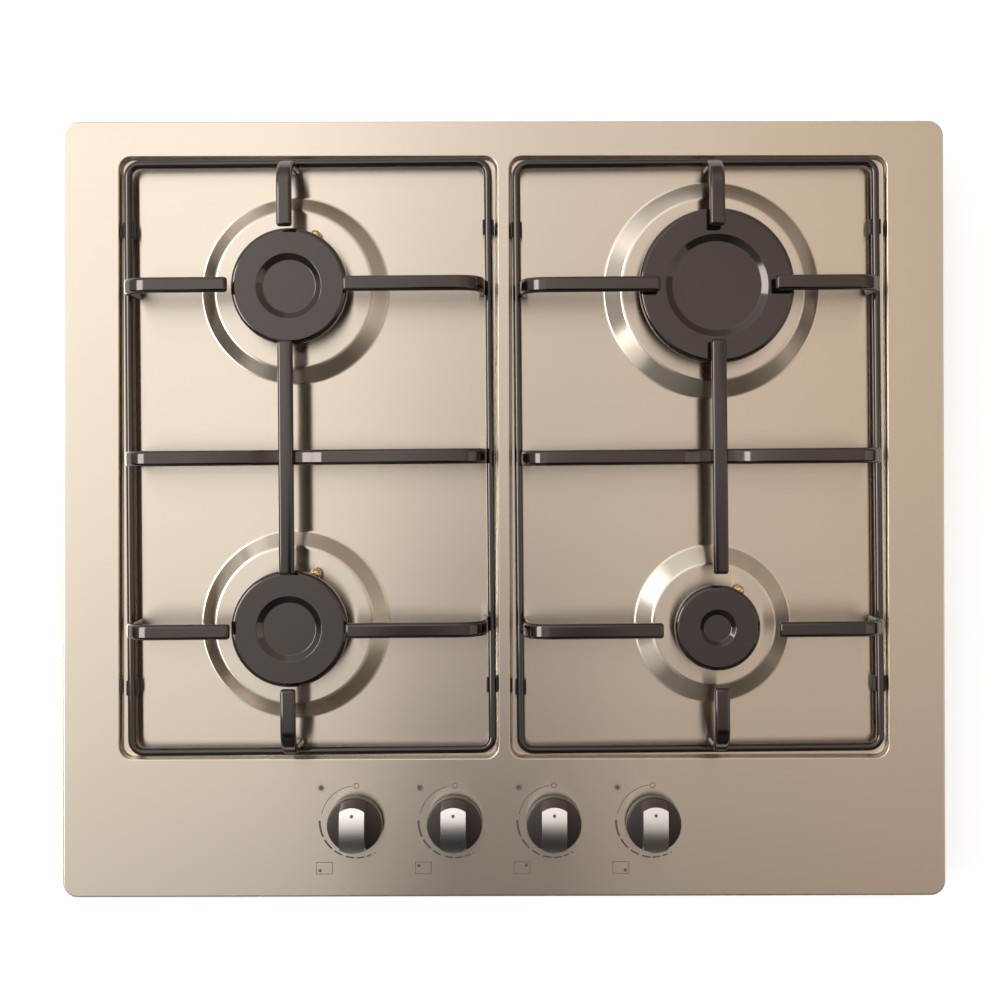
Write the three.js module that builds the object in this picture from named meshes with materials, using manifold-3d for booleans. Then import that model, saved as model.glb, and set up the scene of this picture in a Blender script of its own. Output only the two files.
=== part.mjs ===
// Built-in gas cooktop with four burners, in millimetres.
// +X is to the right, +Y to the rear and +Z up. The origin is the middle of the tray's underside.

import * as THREE from "three";
import { mergeVertices } from "three/addons/utils/BufferGeometryUtils.js";
import Module from "manifold-3d";

const wasm = await Module();
wasm.setup();

// ---------------------------------------------------------------- driving dimensions

// General
const FIT = 0.3; // gap left between pieces that touch
const SHEET = 1; // pressed sheet of the plate and the tray
const OVERCUT = 1; // how far a cutting tool runs past the face it leaves

// Top plate
const PLATE_WIDTH = 580;
const PLATE_DEPTH = 510;
const PLATE_CORNER = 10;
const EDGE_CHAMFER = 1.5;
const RIM_HEIGHT = 5; // top of the rim above the worktop
const LIP_GAP = 0.4; // folded lip above the worktop
const SIDE_MARGIN = 37.5;
const REAR_MARGIN = 23.5;
const FRONT_MARGIN = 91;
const CENTRE_BAR = 8; // between the two wells
const WELL_DEPTH = 6;
const WELL_CORNER = 8;
const WELL_WALL_RUN = 1.2; // how far a well's wall leans over its depth
const PLINTH_HEIGHT = 7.5; // burner plateau above the well's floor

// Worktop, tray, seal and clamps
const TRAY_HEIGHT = 46; // tray's underside below the worktop
const RIM_OVERLAP_X = 10; // rim beyond the cut-out at each side
const RIM_OVERLAP_Y = 15; // the same at front and rear
const CUTOUT_GAP = 5; // tray inside the cut-out
const TRAY_CORNER = 6;
const SEAL_WIDTH = 6;
const SEAL_INSET = 3; // seal inside the plate's edge
const WORKTOP_THICKNESS = 38;
const CLAMP_SPACING = 300;
const CLAMP_WIDTH = 20;
const CLAMP_SHEET = 2;
const CLAMP_REACH = 12; // jaw beyond the tray's side
const CLAMP_LEG = 26;
const CABLE_HOLE_RADIUS = 8;
const CABLE_HOLE_X = -200;
const CABLE_HOLE_Z = 24;

// Burners: centres, and one set of sizes for each kind
const BURNER_SPACING_Y = 220;
const BURNER_OUTSET = 9.25; // burner centres beyond the middle of their well
const CAP_TOP = 28; // above the well's floor
const CAP_THICKNESS = 6.7;
const CAP_EDGE = 1.6;
const CAP_DISH_DEPTH = 2.2;
const CAP_SPIGOT = 2.8; // locating ring under the cap
const CAP_SPIGOT_WALL = 1.5;
const CAP_SPIGOT_GAP = 1.2; // ring inside the crown's wall
const NECK_RISE = 2.5; // cup's neck above the plateau
const CUP_WALL = 3;
const CUP_BOWL_STEP = 1; // bowl inside the neck
const CUP_DROP = 26.5; // cup's base below the plateau
const CUP_FLANGE = 8; // beyond the neck
const CUP_FLANGE_THICKNESS = 3;
const CUP_PORT_RADIUS = 3.4;
const CROWN_WALL = 4;
const CROWN_DECK = 3;
const CROWN_SKIRT_WALL = 1.8;
const CROWN_SKIRT_DEPTH = 5; // skirt inside the cup's neck
const FLAME_SLOT_WIDTH = 1.8;
const FLAME_SLOT_DEPTH = 4.5;
const BURNER_KINDS = {
  rapid: {
    plinthBase: 71.3,
    plinthTop: 60,
    cap: 50,
    dish: 33,
    dishFloor: 28.6,
    crown: 42,
    neck: 30,
    slots: 18,
    sparkRadius: 46,
    sparkAngle: 62,
  },
  semiRapid: {
    plinthBase: 61.3,
    plinthTop: 51.8,
    cap: 37.5,
    dish: 21,
    dishFloor: 17,
    crown: 32.5,
    neck: 22,
    slots: 14,
    sparkRadius: 37.7,
    sparkAngle: 66,
  },
  auxiliary: {
    plinthBase: 51.5,
    plinthTop: 40,
    cap: 27.5,
    dish: 11.8,
    dishFloor: 8.6,
    crown: 22.5,
    neck: 14.5,
    slots: 10,
    sparkRadius: 27.6,
    sparkAngle: 56,
  },
};

// Spark plugs and gas parts under the plate
const SPARK_TIP_RADIUS = 3.3;
const SPARK_TIP_TOP = 18; // above the well's floor
const SPARK_TIP_LENGTH = 5;
const SPARK_BODY_RADIUS = 2.6;
const SPARK_BODY_DROP = 20; // body below the plateau
const SPARK_HOLE_GAP = 0.8;
const LUG_WIDTH = 11; // cup's lug that carries the spark plug
const INJECTOR_RADIUS = 5.5;
const INJECTOR_NIPPLE = 2.5;
const INJECTOR_NIPPLE_RISE = 2;
const PIPE_RADIUS = 3;
const PIPE_LEVEL = 14; // pipe centres above the tray's underside
const PIPE_BEND = 14;
const PIPE_LEAD = 24; // straight run out of the tap
const PIPE_SPREAD = 44; // slanted run that follows it
const PIPE_RUN_X = 70; // where the rear burners' pipes run past the front burners
const PIPE_RETURN_START = 90; // rear burners' pipes turn out to their burner between these two,
const PIPE_RETURN_END = 42; // counted from the burner's centre
const RAIL_RADIUS = 6;
const RAIL_LEVEL = 20;
const RAIL_OFFSET = 17; // rail in front of the taps
const RAIL_OVERRUN = 17; // rail beyond the end tap
const RAIL_BEND = 16;
const RAIL_SIDE_GAP = 11; // rail's side run inside the tray's wall
const RAIL_FOOT = 10;
const INLET_INSET = 23; // inlet from the tray's rear wall
const INLET_THREAD_RADIUS = 10.5;
const INLET_BORE_RADIUS = 6;
const INLET_THREAD_LENGTH = 11;
const INLET_HOLE_GAP = 1; // tray's hole round the thread
const INLET_BODY_RADIUS = 12;
const INLET_WALL = 3;
const MODULE_SIZE = [38, 64, 22];
const MODULE_INSET_X = 60; // module's centre from the tray's side
const MODULE_Y = 60;
const TERMINAL_RADIUS = 2.2;
const TERMINAL_LENGTH = 5;

// Taps and knobs
const KNOB_PITCH = 64.8;
const KNOB_INSET = 50; // knob line from the plate's front edge
const KNOB_RADIUS = 17.8;
const KNOB_LIFT = 3.5; // knob's underside above the plate
const KNOB_BASE_HEIGHT = 8.5;
const KNOB_EDGE = 1;
const KNOB_TRAVEL = 3; // how far a knob is pushed in
const GRIP_WIDTH = 16;
const GRIP_HEIGHT = 13.2; // above the knob's base
const GRIP_ARCH_RADIUS = 62;
const GRIP_WALL = 1.6;
const STEM_RADIUS = 3;
const STEM_FLAT = 1.8; // flat from the stem's axis
const STEM_RISE = 15; // stem above the plate
const STEM_SEAT = 10; // stem inside the tap
const STEM_HOLE_GAP = 2; // plate's hole round the stem
const TAP_RADIUS = 10;
const TAP_BASE = 8; // tap's underside above the tray's underside
const TAP_TOP = 34;
const TAP_BUSH_RADIUS = 6.5;
const TAP_BUSH_HEIGHT = 4;
const TAP_OUTLET_RADIUS = 5;
const TAP_OUTLET_REACH = 16;
const TAP_SADDLE_WIDTH = 16;

// Pan supports
const PAN_HEIGHT = 40; // bars' top above the well's floor
const BAR_WIDTH = 9.8;
const BAR_THICKNESS = 5.2;
const BAR_EDGE = 1.3;
const BAR_BEND = 8.2; // bend at a finger's outer end, on its middle line
const TIP_RADIUS = 36.6; // finger tips from the burner's centre
const LONG_BAR_TIP_RADIUS = 35.5; // the long bar's ends from the same
const WIRE_RADIUS = 2.75;
const WIRE_LEVEL = 8; // wire's centre above the well's floor
const WIRE_CORNER = 8;
const WIRE_GAP_INNER = 5.2; // wire's centre from the well's edge, at each side
const WIRE_GAP_OUTER = 8.5;
const WIRE_GAP_REAR = 5.5;
const WIRE_GAP_FRONT = 6.8;
const WELD_DEPTH = 0.9; // legs sunk into the wire
const LEG_DROP = 1; // legs' ends below the wire's centre
const FOOT_LENGTH = 10;
const FOOT_SPACING = 300;
const FOOT_GRIP = 1.2; // foot's top above the wire's centre
const SUPPORT_TURN = 0.4; // degrees that a support lies turned in its well, within its play

// Facets
const CORNER_STEPS = 3;
const BEND_STEPS = 3;
const ROUND_SIDES = 28;
const CAST_SIDES = 16;
const SMALL_SIDES = 12;
const TUBE_SIDES = 8;

// ---------------------------------------------------------------- levels and places

const worktop = TRAY_HEIGHT;
const rimTop = worktop + RIM_HEIGHT;
const wellFloor = rimTop - WELL_DEPTH;
const plateau = wellFloor + PLINTH_HEIGHT;
const panTop = wellFloor + PAN_HEIGHT;

const wellWidth = (PLATE_WIDTH - 2 * SIDE_MARGIN - CENTRE_BAR) / 2;
const wellDepth = PLATE_DEPTH - REAR_MARGIN - FRONT_MARGIN;
const wellX = (CENTRE_BAR + wellWidth) / 2;
const wellY = (FRONT_MARGIN - REAR_MARGIN) / 2;
const burnerX = wellX + BURNER_OUTSET;

const trayWidth = PLATE_WIDTH - 2 * (RIM_OVERLAP_X + CUTOUT_GAP);
const trayDepth = PLATE_DEPTH - 2 * (RIM_OVERLAP_Y + CUTOUT_GAP);

const knobY = KNOB_INSET - PLATE_DEPTH / 2;
const knobBottom = rimTop + KNOB_LIFT;
const knobShoulder = knobBottom + KNOB_BASE_HEIGHT;
const stemTop = rimTop + STEM_RISE;

// Burners, each with the tap that feeds it: taps are numbered from the left.
const burners = [
  { name: "rear_left", side: -1, row: 1, kind: BURNER_KINDS.semiRapid, tap: 1 },
  { name: "front_left", side: -1, row: -1, kind: BURNER_KINDS.semiRapid, tap: 0 },
  { name: "rear_right", side: 1, row: 1, kind: BURNER_KINDS.rapid, tap: 2 },
  { name: "front_right", side: 1, row: -1, kind: BURNER_KINDS.auxiliary, tap: 3 },
];
for (const burner of burners) {
  burner.x = burner.side * burnerX;
  burner.y = wellY + (burner.row * BURNER_SPACING_Y) / 2;
  burner.tapX = (burner.tap - (burners.length - 1) / 2) * KNOB_PITCH;
  const angle = THREE.MathUtils.degToRad(burner.kind.sparkAngle);
  burner.sparkX = burner.x + burner.kind.sparkRadius * Math.cos(angle);
  burner.sparkY = burner.y + burner.kind.sparkRadius * Math.sin(angle);
}

// ---------------------------------------------------------------- shape helpers

// A closed mesh as a solid that can be joined and cut.
function solid(geometry) {
  const bare = geometry.clone();
  bare.deleteAttribute("normal");
  bare.deleteAttribute("uv");
  const merged = mergeVertices(bare, 1e-4);
  return new wasm.Manifold(
    new wasm.Mesh({
      numProp: 3,
      vertProperties: merged.attributes.position.array,
      triVerts: new Uint32Array(merged.index.array),
    }),
  );
}

// A solid back as a mesh for the scene.
function geometryOf(body) {
  const { vertProperties, triVerts } = body.getMesh();
  const geometry = new THREE.BufferGeometry();
  geometry.setAttribute("position", new THREE.BufferAttribute(vertProperties, 3));
  geometry.setIndex(new THREE.BufferAttribute(triVerts, 1));
  geometry.computeVertexNormals();
  return geometry;
}

const join = (...bodies) => bodies.reduce((a, b) => a.add(b));
const cut = (body, ...tools) => tools.reduce((a, b) => a.subtract(b), body);

function block(width, depth, bottom, top, x = 0, y = 0) {
  const geometry = new THREE.BoxGeometry(width, depth, top - bottom);
  return solid(geometry.translate(x, y, (bottom + top) / 2));
}

function roundedRect(x, y, width, depth, radius) {
  const signs = [[1, 1], [-1, 1], [-1, -1], [1, -1]];
  return signs.flatMap(([signX, signY], quarter) =>
    Array.from({ length: CORNER_STEPS + 1 }, (_, step) => {
      const angle = ((quarter + step / CORNER_STEPS) * Math.PI) / 2;
      return new THREE.Vector2(
        x + signX * (width / 2 - radius) + radius * Math.cos(angle),
        y + signY * (depth / 2 - radius) + radius * Math.sin(angle),
      );
    }),
  );
}

function rectangle(x, y, width, depth) {
  const signs = [[1, 1], [-1, 1], [-1, -1], [1, -1]];
  return signs.map(
    ([signX, signY]) => new THREE.Vector2(x + (signX * width) / 2, y + (signY * depth) / 2),
  );
}

function circle(x, y, radius, sides) {
  return Array.from({ length: sides }, (_, i) => {
    const angle = (2 * Math.PI * i) / sides;
    return new THREE.Vector2(x + radius * Math.cos(angle), y + radius * Math.sin(angle));
  });
}

// The side walls between rings of equal length, and the two lids of an open run.
function skin(rings, lid, closed = false) {
  const count = rings[0].length;
  const index = [];
  const spans = closed ? rings.length : rings.length - 1;
  for (let span = 0; span < spans; span++) {
    const here = span * count;
    const next = ((span + 1) % rings.length) * count;
    for (let i = 0; i < count; i++) {
      const j = (i + 1) % count;
      index.push(here + i, here + j, next + j, here + i, next + j, next + i);
    }
  }
  if (!closed) {
    const last = (rings.length - 1) * count;
    for (const [a, b, c] of THREE.ShapeUtils.triangulateShape(lid, [])) {
      index.push(c, b, a, last + a, last + b, last + c);
    }
  }
  const geometry = new THREE.BufferGeometry().setFromPoints(rings.flat());
  geometry.setIndex(index);
  return solid(geometry);
}

// A solid through level outlines, given from the lowest to the highest as [outline, z].
function lofted(...levels) {
  const rings = levels.map(([outline, z]) =>
    outline.map((point) => new THREE.Vector3(point.x, point.y, z)),
  );
  return skin(rings, levels[0][0]);
}

const prism = (outline, bottom, top) => lofted([outline, bottom], [outline, top]);

const cylinder = (x, y, radius, bottom, top, sides = SMALL_SIDES) =>
  prism(circle(x, y, radius, sides), bottom, top);

// A solid turned about Z from [radius, z] points, given counter-clockwise.
function turned(profile, sides = ROUND_SIDES) {
  const points = profile.map(([radius, z]) => new THREE.Vector2(radius, z));
  return solid(new THREE.LatheGeometry(points, sides).rotateX(Math.PI / 2));
}

// A polyline with its corners rounded to a radius.
function rounded(corners, radius, closed = false) {
  const count = corners.length;
  return corners.flatMap((corner, i) => {
    if (!closed && (i === 0 || i === count - 1)) return [corner.clone()];
    const back = corners[(i + count - 1) % count].clone().sub(corner).normalize();
    const ahead = corners[(i + 1) % count].clone().sub(corner).normalize();
    const half = back.angleTo(ahead) / 2;
    const reach = radius / Math.tan(half);
    const middle = back.clone().add(ahead).setLength(radius / Math.sin(half)).add(corner);
    const from = back.multiplyScalar(reach).add(corner).sub(middle);
    const to = ahead.multiplyScalar(reach).add(corner).sub(middle);
    const turn = Math.PI - 2 * half;
    return Array.from({ length: BEND_STEPS + 1 }, (_, step) => {
      const part = (turn * step) / BEND_STEPS;
      const point = from.clone().multiplyScalar(Math.sin(turn - part) / Math.sin(turn));
      return point.addScaledVector(to, Math.sin(part) / Math.sin(turn)).add(middle);
    });
  });
}

// A section carried along a flat path. Its x lies in the path's plane and its y along `normal`.
function swept(path, section, normal, closed = false) {
  const count = path.length;
  const rings = path.map((point, i) => {
    const before = path[closed ? (i + count - 1) % count : Math.max(i - 1, 0)];
    const after = path[closed ? (i + 1) % count : Math.min(i + 1, count - 1)];
    const arriving = point.clone().sub(before).normalize();
    const leaving = after.clone().sub(point).normalize();
    const along = arriving.clone().add(leaving).normalize();
    const mitre = 1 / along.dot(leaving.length() > 0 ? leaving : arriving);
    const across = normal.clone().cross(along).multiplyScalar(mitre);
    return section.map(({ x, y }) =>
      point.clone().addScaledVector(across, x).addScaledVector(normal, y),
    );
  });
  return skin(rings, section, closed);
}

const UP = new THREE.Vector3(0, 0, 1);
const tube = (path, radius, closed = false) =>
  swept(path, circle(0, 0, radius, TUBE_SIDES), UP, closed);

// ---------------------------------------------------------------- plate, tray, seal, clamps

function rimBlock(inset, bottom, top) {
  const outline = (grow) =>
    roundedRect(
      0,
      0,
      PLATE_WIDTH - 2 * (inset + grow),
      PLATE_DEPTH - 2 * (inset + grow),
      Math.max(PLATE_CORNER - inset - grow, SHEET),
    );
  return lofted(
    [outline(0), bottom],
    [outline(0), top - EDGE_CHAMFER],
    [outline(EDGE_CHAMFER), top],
  );
}

function wellOutline(side, grow) {
  return roundedRect(
    side * wellX,
    wellY,
    wellWidth + 2 * grow,
    wellDepth + 2 * grow,
    WELL_CORNER + grow,
  );
}

// The pressed plate: folded rim, two wells, and a raised plateau under each burner.
function topPlate() {
  const lip = worktop + LIP_GAP;
  let plate = cut(rimBlock(0, lip, rimTop), rimBlock(SHEET, lip - OVERCUT, rimTop - SHEET));
  for (const side of [-1, 1]) {
    const tub = lofted(
      [wellOutline(side, SHEET - WELL_WALL_RUN), wellFloor - SHEET],
      [wellOutline(side, SHEET), rimTop],
    );
    const hollow = lofted(
      [wellOutline(side, -WELL_WALL_RUN), wellFloor],
      [wellOutline(side, 0), rimTop],
      [wellOutline(side, 0), rimTop + OVERCUT],
    );
    plate = cut(join(plate, tub), hollow);
  }
  for (const { x, y, kind } of burners) {
    const raised = lofted(
      [circle(x, y, kind.plinthBase, ROUND_SIDES), wellFloor - SHEET / 2],
      [circle(x, y, kind.plinthTop, ROUND_SIDES), plateau],
    );
    const under = lofted(
      [circle(x, y, kind.plinthBase - SHEET, ROUND_SIDES), wellFloor - SHEET - OVERCUT],
      [circle(x, y, kind.plinthTop - SHEET, ROUND_SIDES), plateau - SHEET],
    );
    plate = cut(join(plate, raised), under);
  }
  const sparkHole = SPARK_BODY_RADIUS + SPARK_HOLE_GAP;
  const stemHole = STEM_RADIUS + STEM_HOLE_GAP;
  for (const { x, y, kind, sparkX, sparkY, tapX } of burners) {
    plate = cut(
      plate,
      cylinder(x, y, kind.neck + FIT, wellFloor, plateau + OVERCUT, CAST_SIDES),
      cylinder(sparkX, sparkY, sparkHole, wellFloor, plateau + OVERCUT),
      cylinder(tapX, knobY, stemHole, worktop, rimTop + OVERCUT),
    );
  }
  return plate;
}

const inletX = trayWidth / 2 - SHEET - RAIL_SIDE_GAP - RAIL_RADIUS;
const inletY = trayDepth / 2 - SHEET - INLET_INSET;

// The open tray that hangs in the cut-out and holds the gas parts.
function bottomTray() {
  const outline = (inset) =>
    roundedRect(0, 0, trayWidth - 2 * inset, trayDepth - 2 * inset, TRAY_CORNER - inset);
  const top = rimTop - SHEET - FIT;
  const shell = cut(prism(outline(0), 0, top), prism(outline(SHEET), SHEET, top + OVERCUT));
  const cableHole = cylinder(0, 0, CABLE_HOLE_RADIUS, -SHEET - OVERCUT, SHEET + OVERCUT)
    .rotate([90, 0, 0])
    .translate([CABLE_HOLE_X, (trayDepth - SHEET) / 2, CABLE_HOLE_Z]);
  const inletHoleRadius = INLET_THREAD_RADIUS + INLET_HOLE_GAP;
  const inletHole = cylinder(inletX, inletY, inletHoleRadius, -OVERCUT, SHEET + OVERCUT);
  return cut(shell, cableHole, inletHole);
}

function worktopSeal() {
  const outline = (inset) =>
    roundedRect(
      0,
      0,
      PLATE_WIDTH - 2 * (SEAL_INSET + inset),
      PLATE_DEPTH - 2 * (SEAL_INSET + inset),
      Math.max(PLATE_CORNER - SEAL_INSET - inset, SHEET),
    );
  const top = rimTop - SHEET - FIT;
  return cut(
    prism(outline(0), worktop, top),
    prism(outline(SEAL_WIDTH), worktop - OVERCUT, top + OVERCUT),
  );
}

// An L-shaped clamp: its leg is screwed to the tray's side and its jaw grips the worktop from below.
function clamp(side, row) {
  const jawTop = worktop - WORKTOP_THICKNESS;
  const legX = trayWidth / 2 + FIT + CLAMP_SHEET / 2;
  const jawX = trayWidth / 2 + FIT + CLAMP_REACH / 2;
  const y = (row * CLAMP_SPACING) / 2;
  const bottom = jawTop - CLAMP_SHEET;
  return join(
    block(CLAMP_SHEET, CLAMP_WIDTH, bottom, jawTop + CLAMP_LEG, side * legX, y),
    block(CLAMP_REACH, CLAMP_WIDTH, bottom, jawTop, side * jawX, y),
  );
}

// ---------------------------------------------------------------- burners

const cupBase = plateau - CUP_DROP;
const capUnderside = wellFloor + CAP_TOP - CAP_THICKNESS;
const neckTop = plateau + NECK_RISE;
const flangeTop = plateau - SHEET - FIT;

// The cast cup under the plate: base, bowl, flange, and a neck that comes up through the plate.
function burnerCup({ x, y, kind, sparkX, sparkY }) {
  const flangeBottom = flangeTop - CUP_FLANGE_THICKNESS;
  const bowl = kind.neck - CUP_BOWL_STEP;
  const inside = kind.neck - CUP_WALL;
  const profile = [
    [CUP_PORT_RADIUS, cupBase],
    [bowl, cupBase],
    [bowl, flangeBottom],
    [kind.neck + CUP_FLANGE, flangeBottom],
    [kind.neck + CUP_FLANGE, flangeTop],
    [kind.neck, flangeTop],
    [kind.neck, neckTop],
    [inside, neckTop],
    [inside, cupBase + CUP_WALL],
    [CUP_PORT_RADIUS, cupBase + CUP_WALL],
    [CUP_PORT_RADIUS, cupBase],
  ];
  const cup = turned(profile, CAST_SIDES).translate([x, y, 0]);
  const lugStart = kind.neck + CUP_FLANGE / 2;
  const lugLength = kind.sparkRadius + LUG_WIDTH / 2 - lugStart;
  const lug = block(lugLength, LUG_WIDTH, flangeBottom, flangeTop, lugStart + lugLength / 2)
    .rotate([0, 0, kind.sparkAngle])
    .translate([x, y, 0]);
  const holeRadius = SPARK_BODY_RADIUS + FIT;
  const hole = cylinder(sparkX, sparkY, holeRadius, flangeBottom - OVERCUT, flangeTop + OVERCUT);
  return cut(join(cup, lug), hole);
}

// The holder under the cup, with the nozzle that points up into the cup's port.
function injector({ x, y }) {
  const top = cupBase - FIT;
  return join(
    cylinder(x, y, INJECTOR_RADIUS, PIPE_LEVEL - INJECTOR_RADIUS, top, TUBE_SIDES),
    cylinder(x, y, INJECTOR_NIPPLE, PIPE_LEVEL, cupBase + INJECTOR_NIPPLE_RISE, TUBE_SIDES),
  );
}

// The flame crown: it stands on the cup's neck, and slots in its wall let the flames out.
function flameCrown({ x, y, kind }) {
  const bottom = neckTop + FIT;
  const top = capUnderside - FIT;
  const skirtOuter = kind.neck - CUP_WALL - FIT;
  const skirtInner = skirtOuter - CROWN_SKIRT_WALL;
  const profile = [
    [skirtInner, neckTop - CROWN_SKIRT_DEPTH],
    [skirtOuter, neckTop - CROWN_SKIRT_DEPTH],
    [skirtOuter, bottom],
    [kind.crown, bottom],
    [kind.crown, top],
    [kind.crown - CROWN_WALL, top],
    [kind.crown - CROWN_WALL, bottom + CROWN_DECK],
    [skirtInner, bottom + CROWN_DECK],
    [skirtInner, neckTop - CROWN_SKIRT_DEPTH],
  ];
  const wallMiddle = kind.crown - CROWN_WALL / 2;
  const slotBottom = top - FLAME_SLOT_DEPTH;
  const slotTool = block(2 * CROWN_WALL, FLAME_SLOT_WIDTH, slotBottom, top + OVERCUT, wallMiddle);
  const slots = Array.from({ length: kind.slots }, (_, i) =>
    slotTool.rotate([0, 0, (360 * (i + 0.5)) / kind.slots]),
  );
  return cut(turned(profile, CAST_SIDES), ...slots).translate([x, y, 0]);
}

// The cap: a thick disc with a shallow dish on top and a ring below that finds the crown's wall.
function burnerCap({ x, y, kind }) {
  const top = capUnderside + CAP_THICKNESS;
  const ringOuter = kind.crown - CROWN_WALL - CAP_SPIGOT_GAP;
  const ringInner = ringOuter - CAP_SPIGOT_WALL;
  return turned([
    [0, capUnderside],
    [ringInner, capUnderside],
    [ringInner, capUnderside - CAP_SPIGOT],
    [ringOuter, capUnderside - CAP_SPIGOT],
    [ringOuter, capUnderside],
    [kind.cap - CAP_EDGE, capUnderside],
    [kind.cap, capUnderside + CAP_EDGE],
    [kind.cap, top - CAP_EDGE],
    [kind.cap - CAP_EDGE, top],
    [kind.dish, top],
    [kind.dishFloor, top - CAP_DISH_DEPTH],
    [0, top - CAP_DISH_DEPTH],
  ]).translate([x, y, 0]);
}

function sparkPlug({ sparkX, sparkY }) {
  const tipTop = wellFloor + SPARK_TIP_TOP;
  const tipBottom = tipTop - SPARK_TIP_LENGTH;
  return turned(
    [
      [0, plateau - SPARK_BODY_DROP],
      [SPARK_BODY_RADIUS, plateau - SPARK_BODY_DROP],
      [SPARK_BODY_RADIUS, tipBottom],
      [SPARK_TIP_RADIUS, tipBottom],
      [SPARK_TIP_RADIUS, tipTop - SPARK_TIP_RADIUS / 2],
      [SPARK_TIP_RADIUS / 2, tipTop],
      [0, tipTop],
    ],
    SMALL_SIDES,
  ).translate([sparkX, sparkY, 0]);
}

// ---------------------------------------------------------------- gas and spark parts

const tapOutletEnd = knobY + TAP_OUTLET_REACH;
const railY = knobY - RAIL_OFFSET;

// The pipe from a tap's outlet to its burner's injector, all at one level above the tray.
function feedPipe({ x, y, side, row, tapX }) {
  const start = tapOutletEnd + FIT;
  const end = y - INJECTOR_RADIUS - FIT;
  const bend = start + PIPE_LEAD;
  const runX = row < 0 ? x : side * PIPE_RUN_X;
  const corners = [[tapX, start], [tapX, bend], [runX, bend + PIPE_SPREAD]];
  if (row > 0) corners.push([runX, y - PIPE_RETURN_START], [x, y - PIPE_RETURN_END]);
  corners.push([x, end]);
  const path = corners.map((corner) => new THREE.Vector3(...corner, PIPE_LEVEL));
  return tube(rounded(path, PIPE_BEND), PIPE_RADIUS);
}

// The rail that feeds the taps, bent round to the inlet, on feet that stand on the tray.
function gasRail() {
  const endTapX = ((burners.length - 1) / 2) * KNOB_PITCH;
  const startX = -endTapX - RAIL_OVERRUN;
  const path = [
    [startX, railY],
    [inletX, railY],
    [inletX, inletY - INLET_BODY_RADIUS - FIT],
  ].map((corner) => new THREE.Vector3(...corner, RAIL_LEVEL));
  const footBottom = SHEET + FIT;
  const feet = [
    [-KNOB_PITCH, railY],
    [KNOB_PITCH, railY],
    [inletX, wellY],
  ].map(([x, y]) => block(RAIL_FOOT, RAIL_FOOT, footBottom, RAIL_LEVEL, x, y));
  return join(tube(rounded(path, RAIL_BEND), RAIL_RADIUS), ...feet);
}

// The inlet elbow: it takes the rail's end and turns down through the tray.
function inletElbow() {
  const top = RAIL_LEVEL + RAIL_RADIUS + INLET_WALL;
  const body = join(
    cylinder(inletX, inletY, INLET_THREAD_RADIUS, 0, RAIL_LEVEL, CAST_SIDES),
    cylinder(inletX, inletY, INLET_BODY_RADIUS, INLET_THREAD_LENGTH, top, CAST_SIDES),
  );
  return cut(body, cylinder(inletX, inletY, INLET_BORE_RADIUS, -OVERCUT, RAIL_LEVEL));
}

// The spark module, with one terminal for each burner.
function sparkModule() {
  const [width, depth, height] = MODULE_SIZE;
  const x = MODULE_INSET_X - trayWidth / 2;
  const bottom = SHEET + FIT;
  const box = block(width, depth, bottom, bottom + height, x, MODULE_Y);
  const terminals = burners.map((_, i) => {
    const y = MODULE_Y + ((i - (burners.length - 1) / 2) * depth) / burners.length;
    return cylinder(0, 0, TERMINAL_RADIUS, 0, width / 2 + TERMINAL_LENGTH, TUBE_SIDES)
      .rotate([0, 90, 0])
      .translate([x, y, bottom + height / 2]);
  });
  return join(box, ...terminals);
}

// ---------------------------------------------------------------- taps and knobs

// A tap: plug body with a bush for the stem, a saddle on the rail and an outlet for the pipe.
function tapBody({ tapX }) {
  const bushTop = TAP_TOP + TAP_BUSH_HEIGHT;
  const saddleStart = railY + RAIL_RADIUS + FIT;
  const saddle = block(
    TAP_SADDLE_WIDTH,
    knobY - saddleStart,
    RAIL_LEVEL - RAIL_RADIUS,
    RAIL_LEVEL + RAIL_RADIUS,
    tapX,
    (knobY + saddleStart) / 2,
  );
  const outlet = cylinder(0, 0, TAP_OUTLET_RADIUS, 0, TAP_OUTLET_REACH, TUBE_SIDES)
    .rotate([-90, 0, 0])
    .translate([tapX, knobY, PIPE_LEVEL]);
  const body = join(
    cylinder(tapX, knobY, TAP_RADIUS, TAP_BASE, TAP_TOP),
    cylinder(tapX, knobY, TAP_BUSH_RADIUS, TAP_BASE, bushTop),
    saddle,
    outlet,
  );
  const boreBottom = bushTop - STEM_SEAT - FIT;
  return cut(body, cylinder(tapX, knobY, STEM_RADIUS + FIT, boreBottom, bushTop + OVERCUT));
}

// The D-shaped end that stem and knob share, as a solid to keep or to cut away.
function dShape(x, radius, flat, bottom, top) {
  const shaft = cylinder(x, knobY, radius, bottom, top);
  const width = 2 * (radius + OVERCUT);
  const flatTool = block(width, width, bottom - OVERCUT, top + OVERCUT, x, knobY + flat + width / 2);
  return cut(shaft, flatTool);
}

function tapStem({ tapX }) {
  const seat = TAP_TOP + TAP_BUSH_HEIGHT - STEM_SEAT;
  return join(
    cylinder(tapX, knobY, STEM_RADIUS, seat, rimTop),
    dShape(tapX, STEM_RADIUS, STEM_FLAT, seat, stemTop),
  );
}

// An upright slab of the knob's round outline, cut to the grip's width.
function gripSlab(x, inset, bottom, top) {
  const disc = cylinder(x, knobY, KNOB_RADIUS - inset, bottom, top, ROUND_SIDES);
  const slab = block(GRIP_WIDTH - 2 * inset, 2 * KNOB_RADIUS, bottom, top, x, knobY);
  return disc.intersect(slab);
}

// The arched cover that the grip's top follows, seen from the side.
function arch(x, top) {
  const barrel = cylinder(0, 0, GRIP_ARCH_RADIUS, -KNOB_RADIUS, KNOB_RADIUS, 4 * ROUND_SIDES);
  return barrel.rotate([0, 90, 0]).translate([x, knobY, top - GRIP_ARCH_RADIUS]);
}

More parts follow.
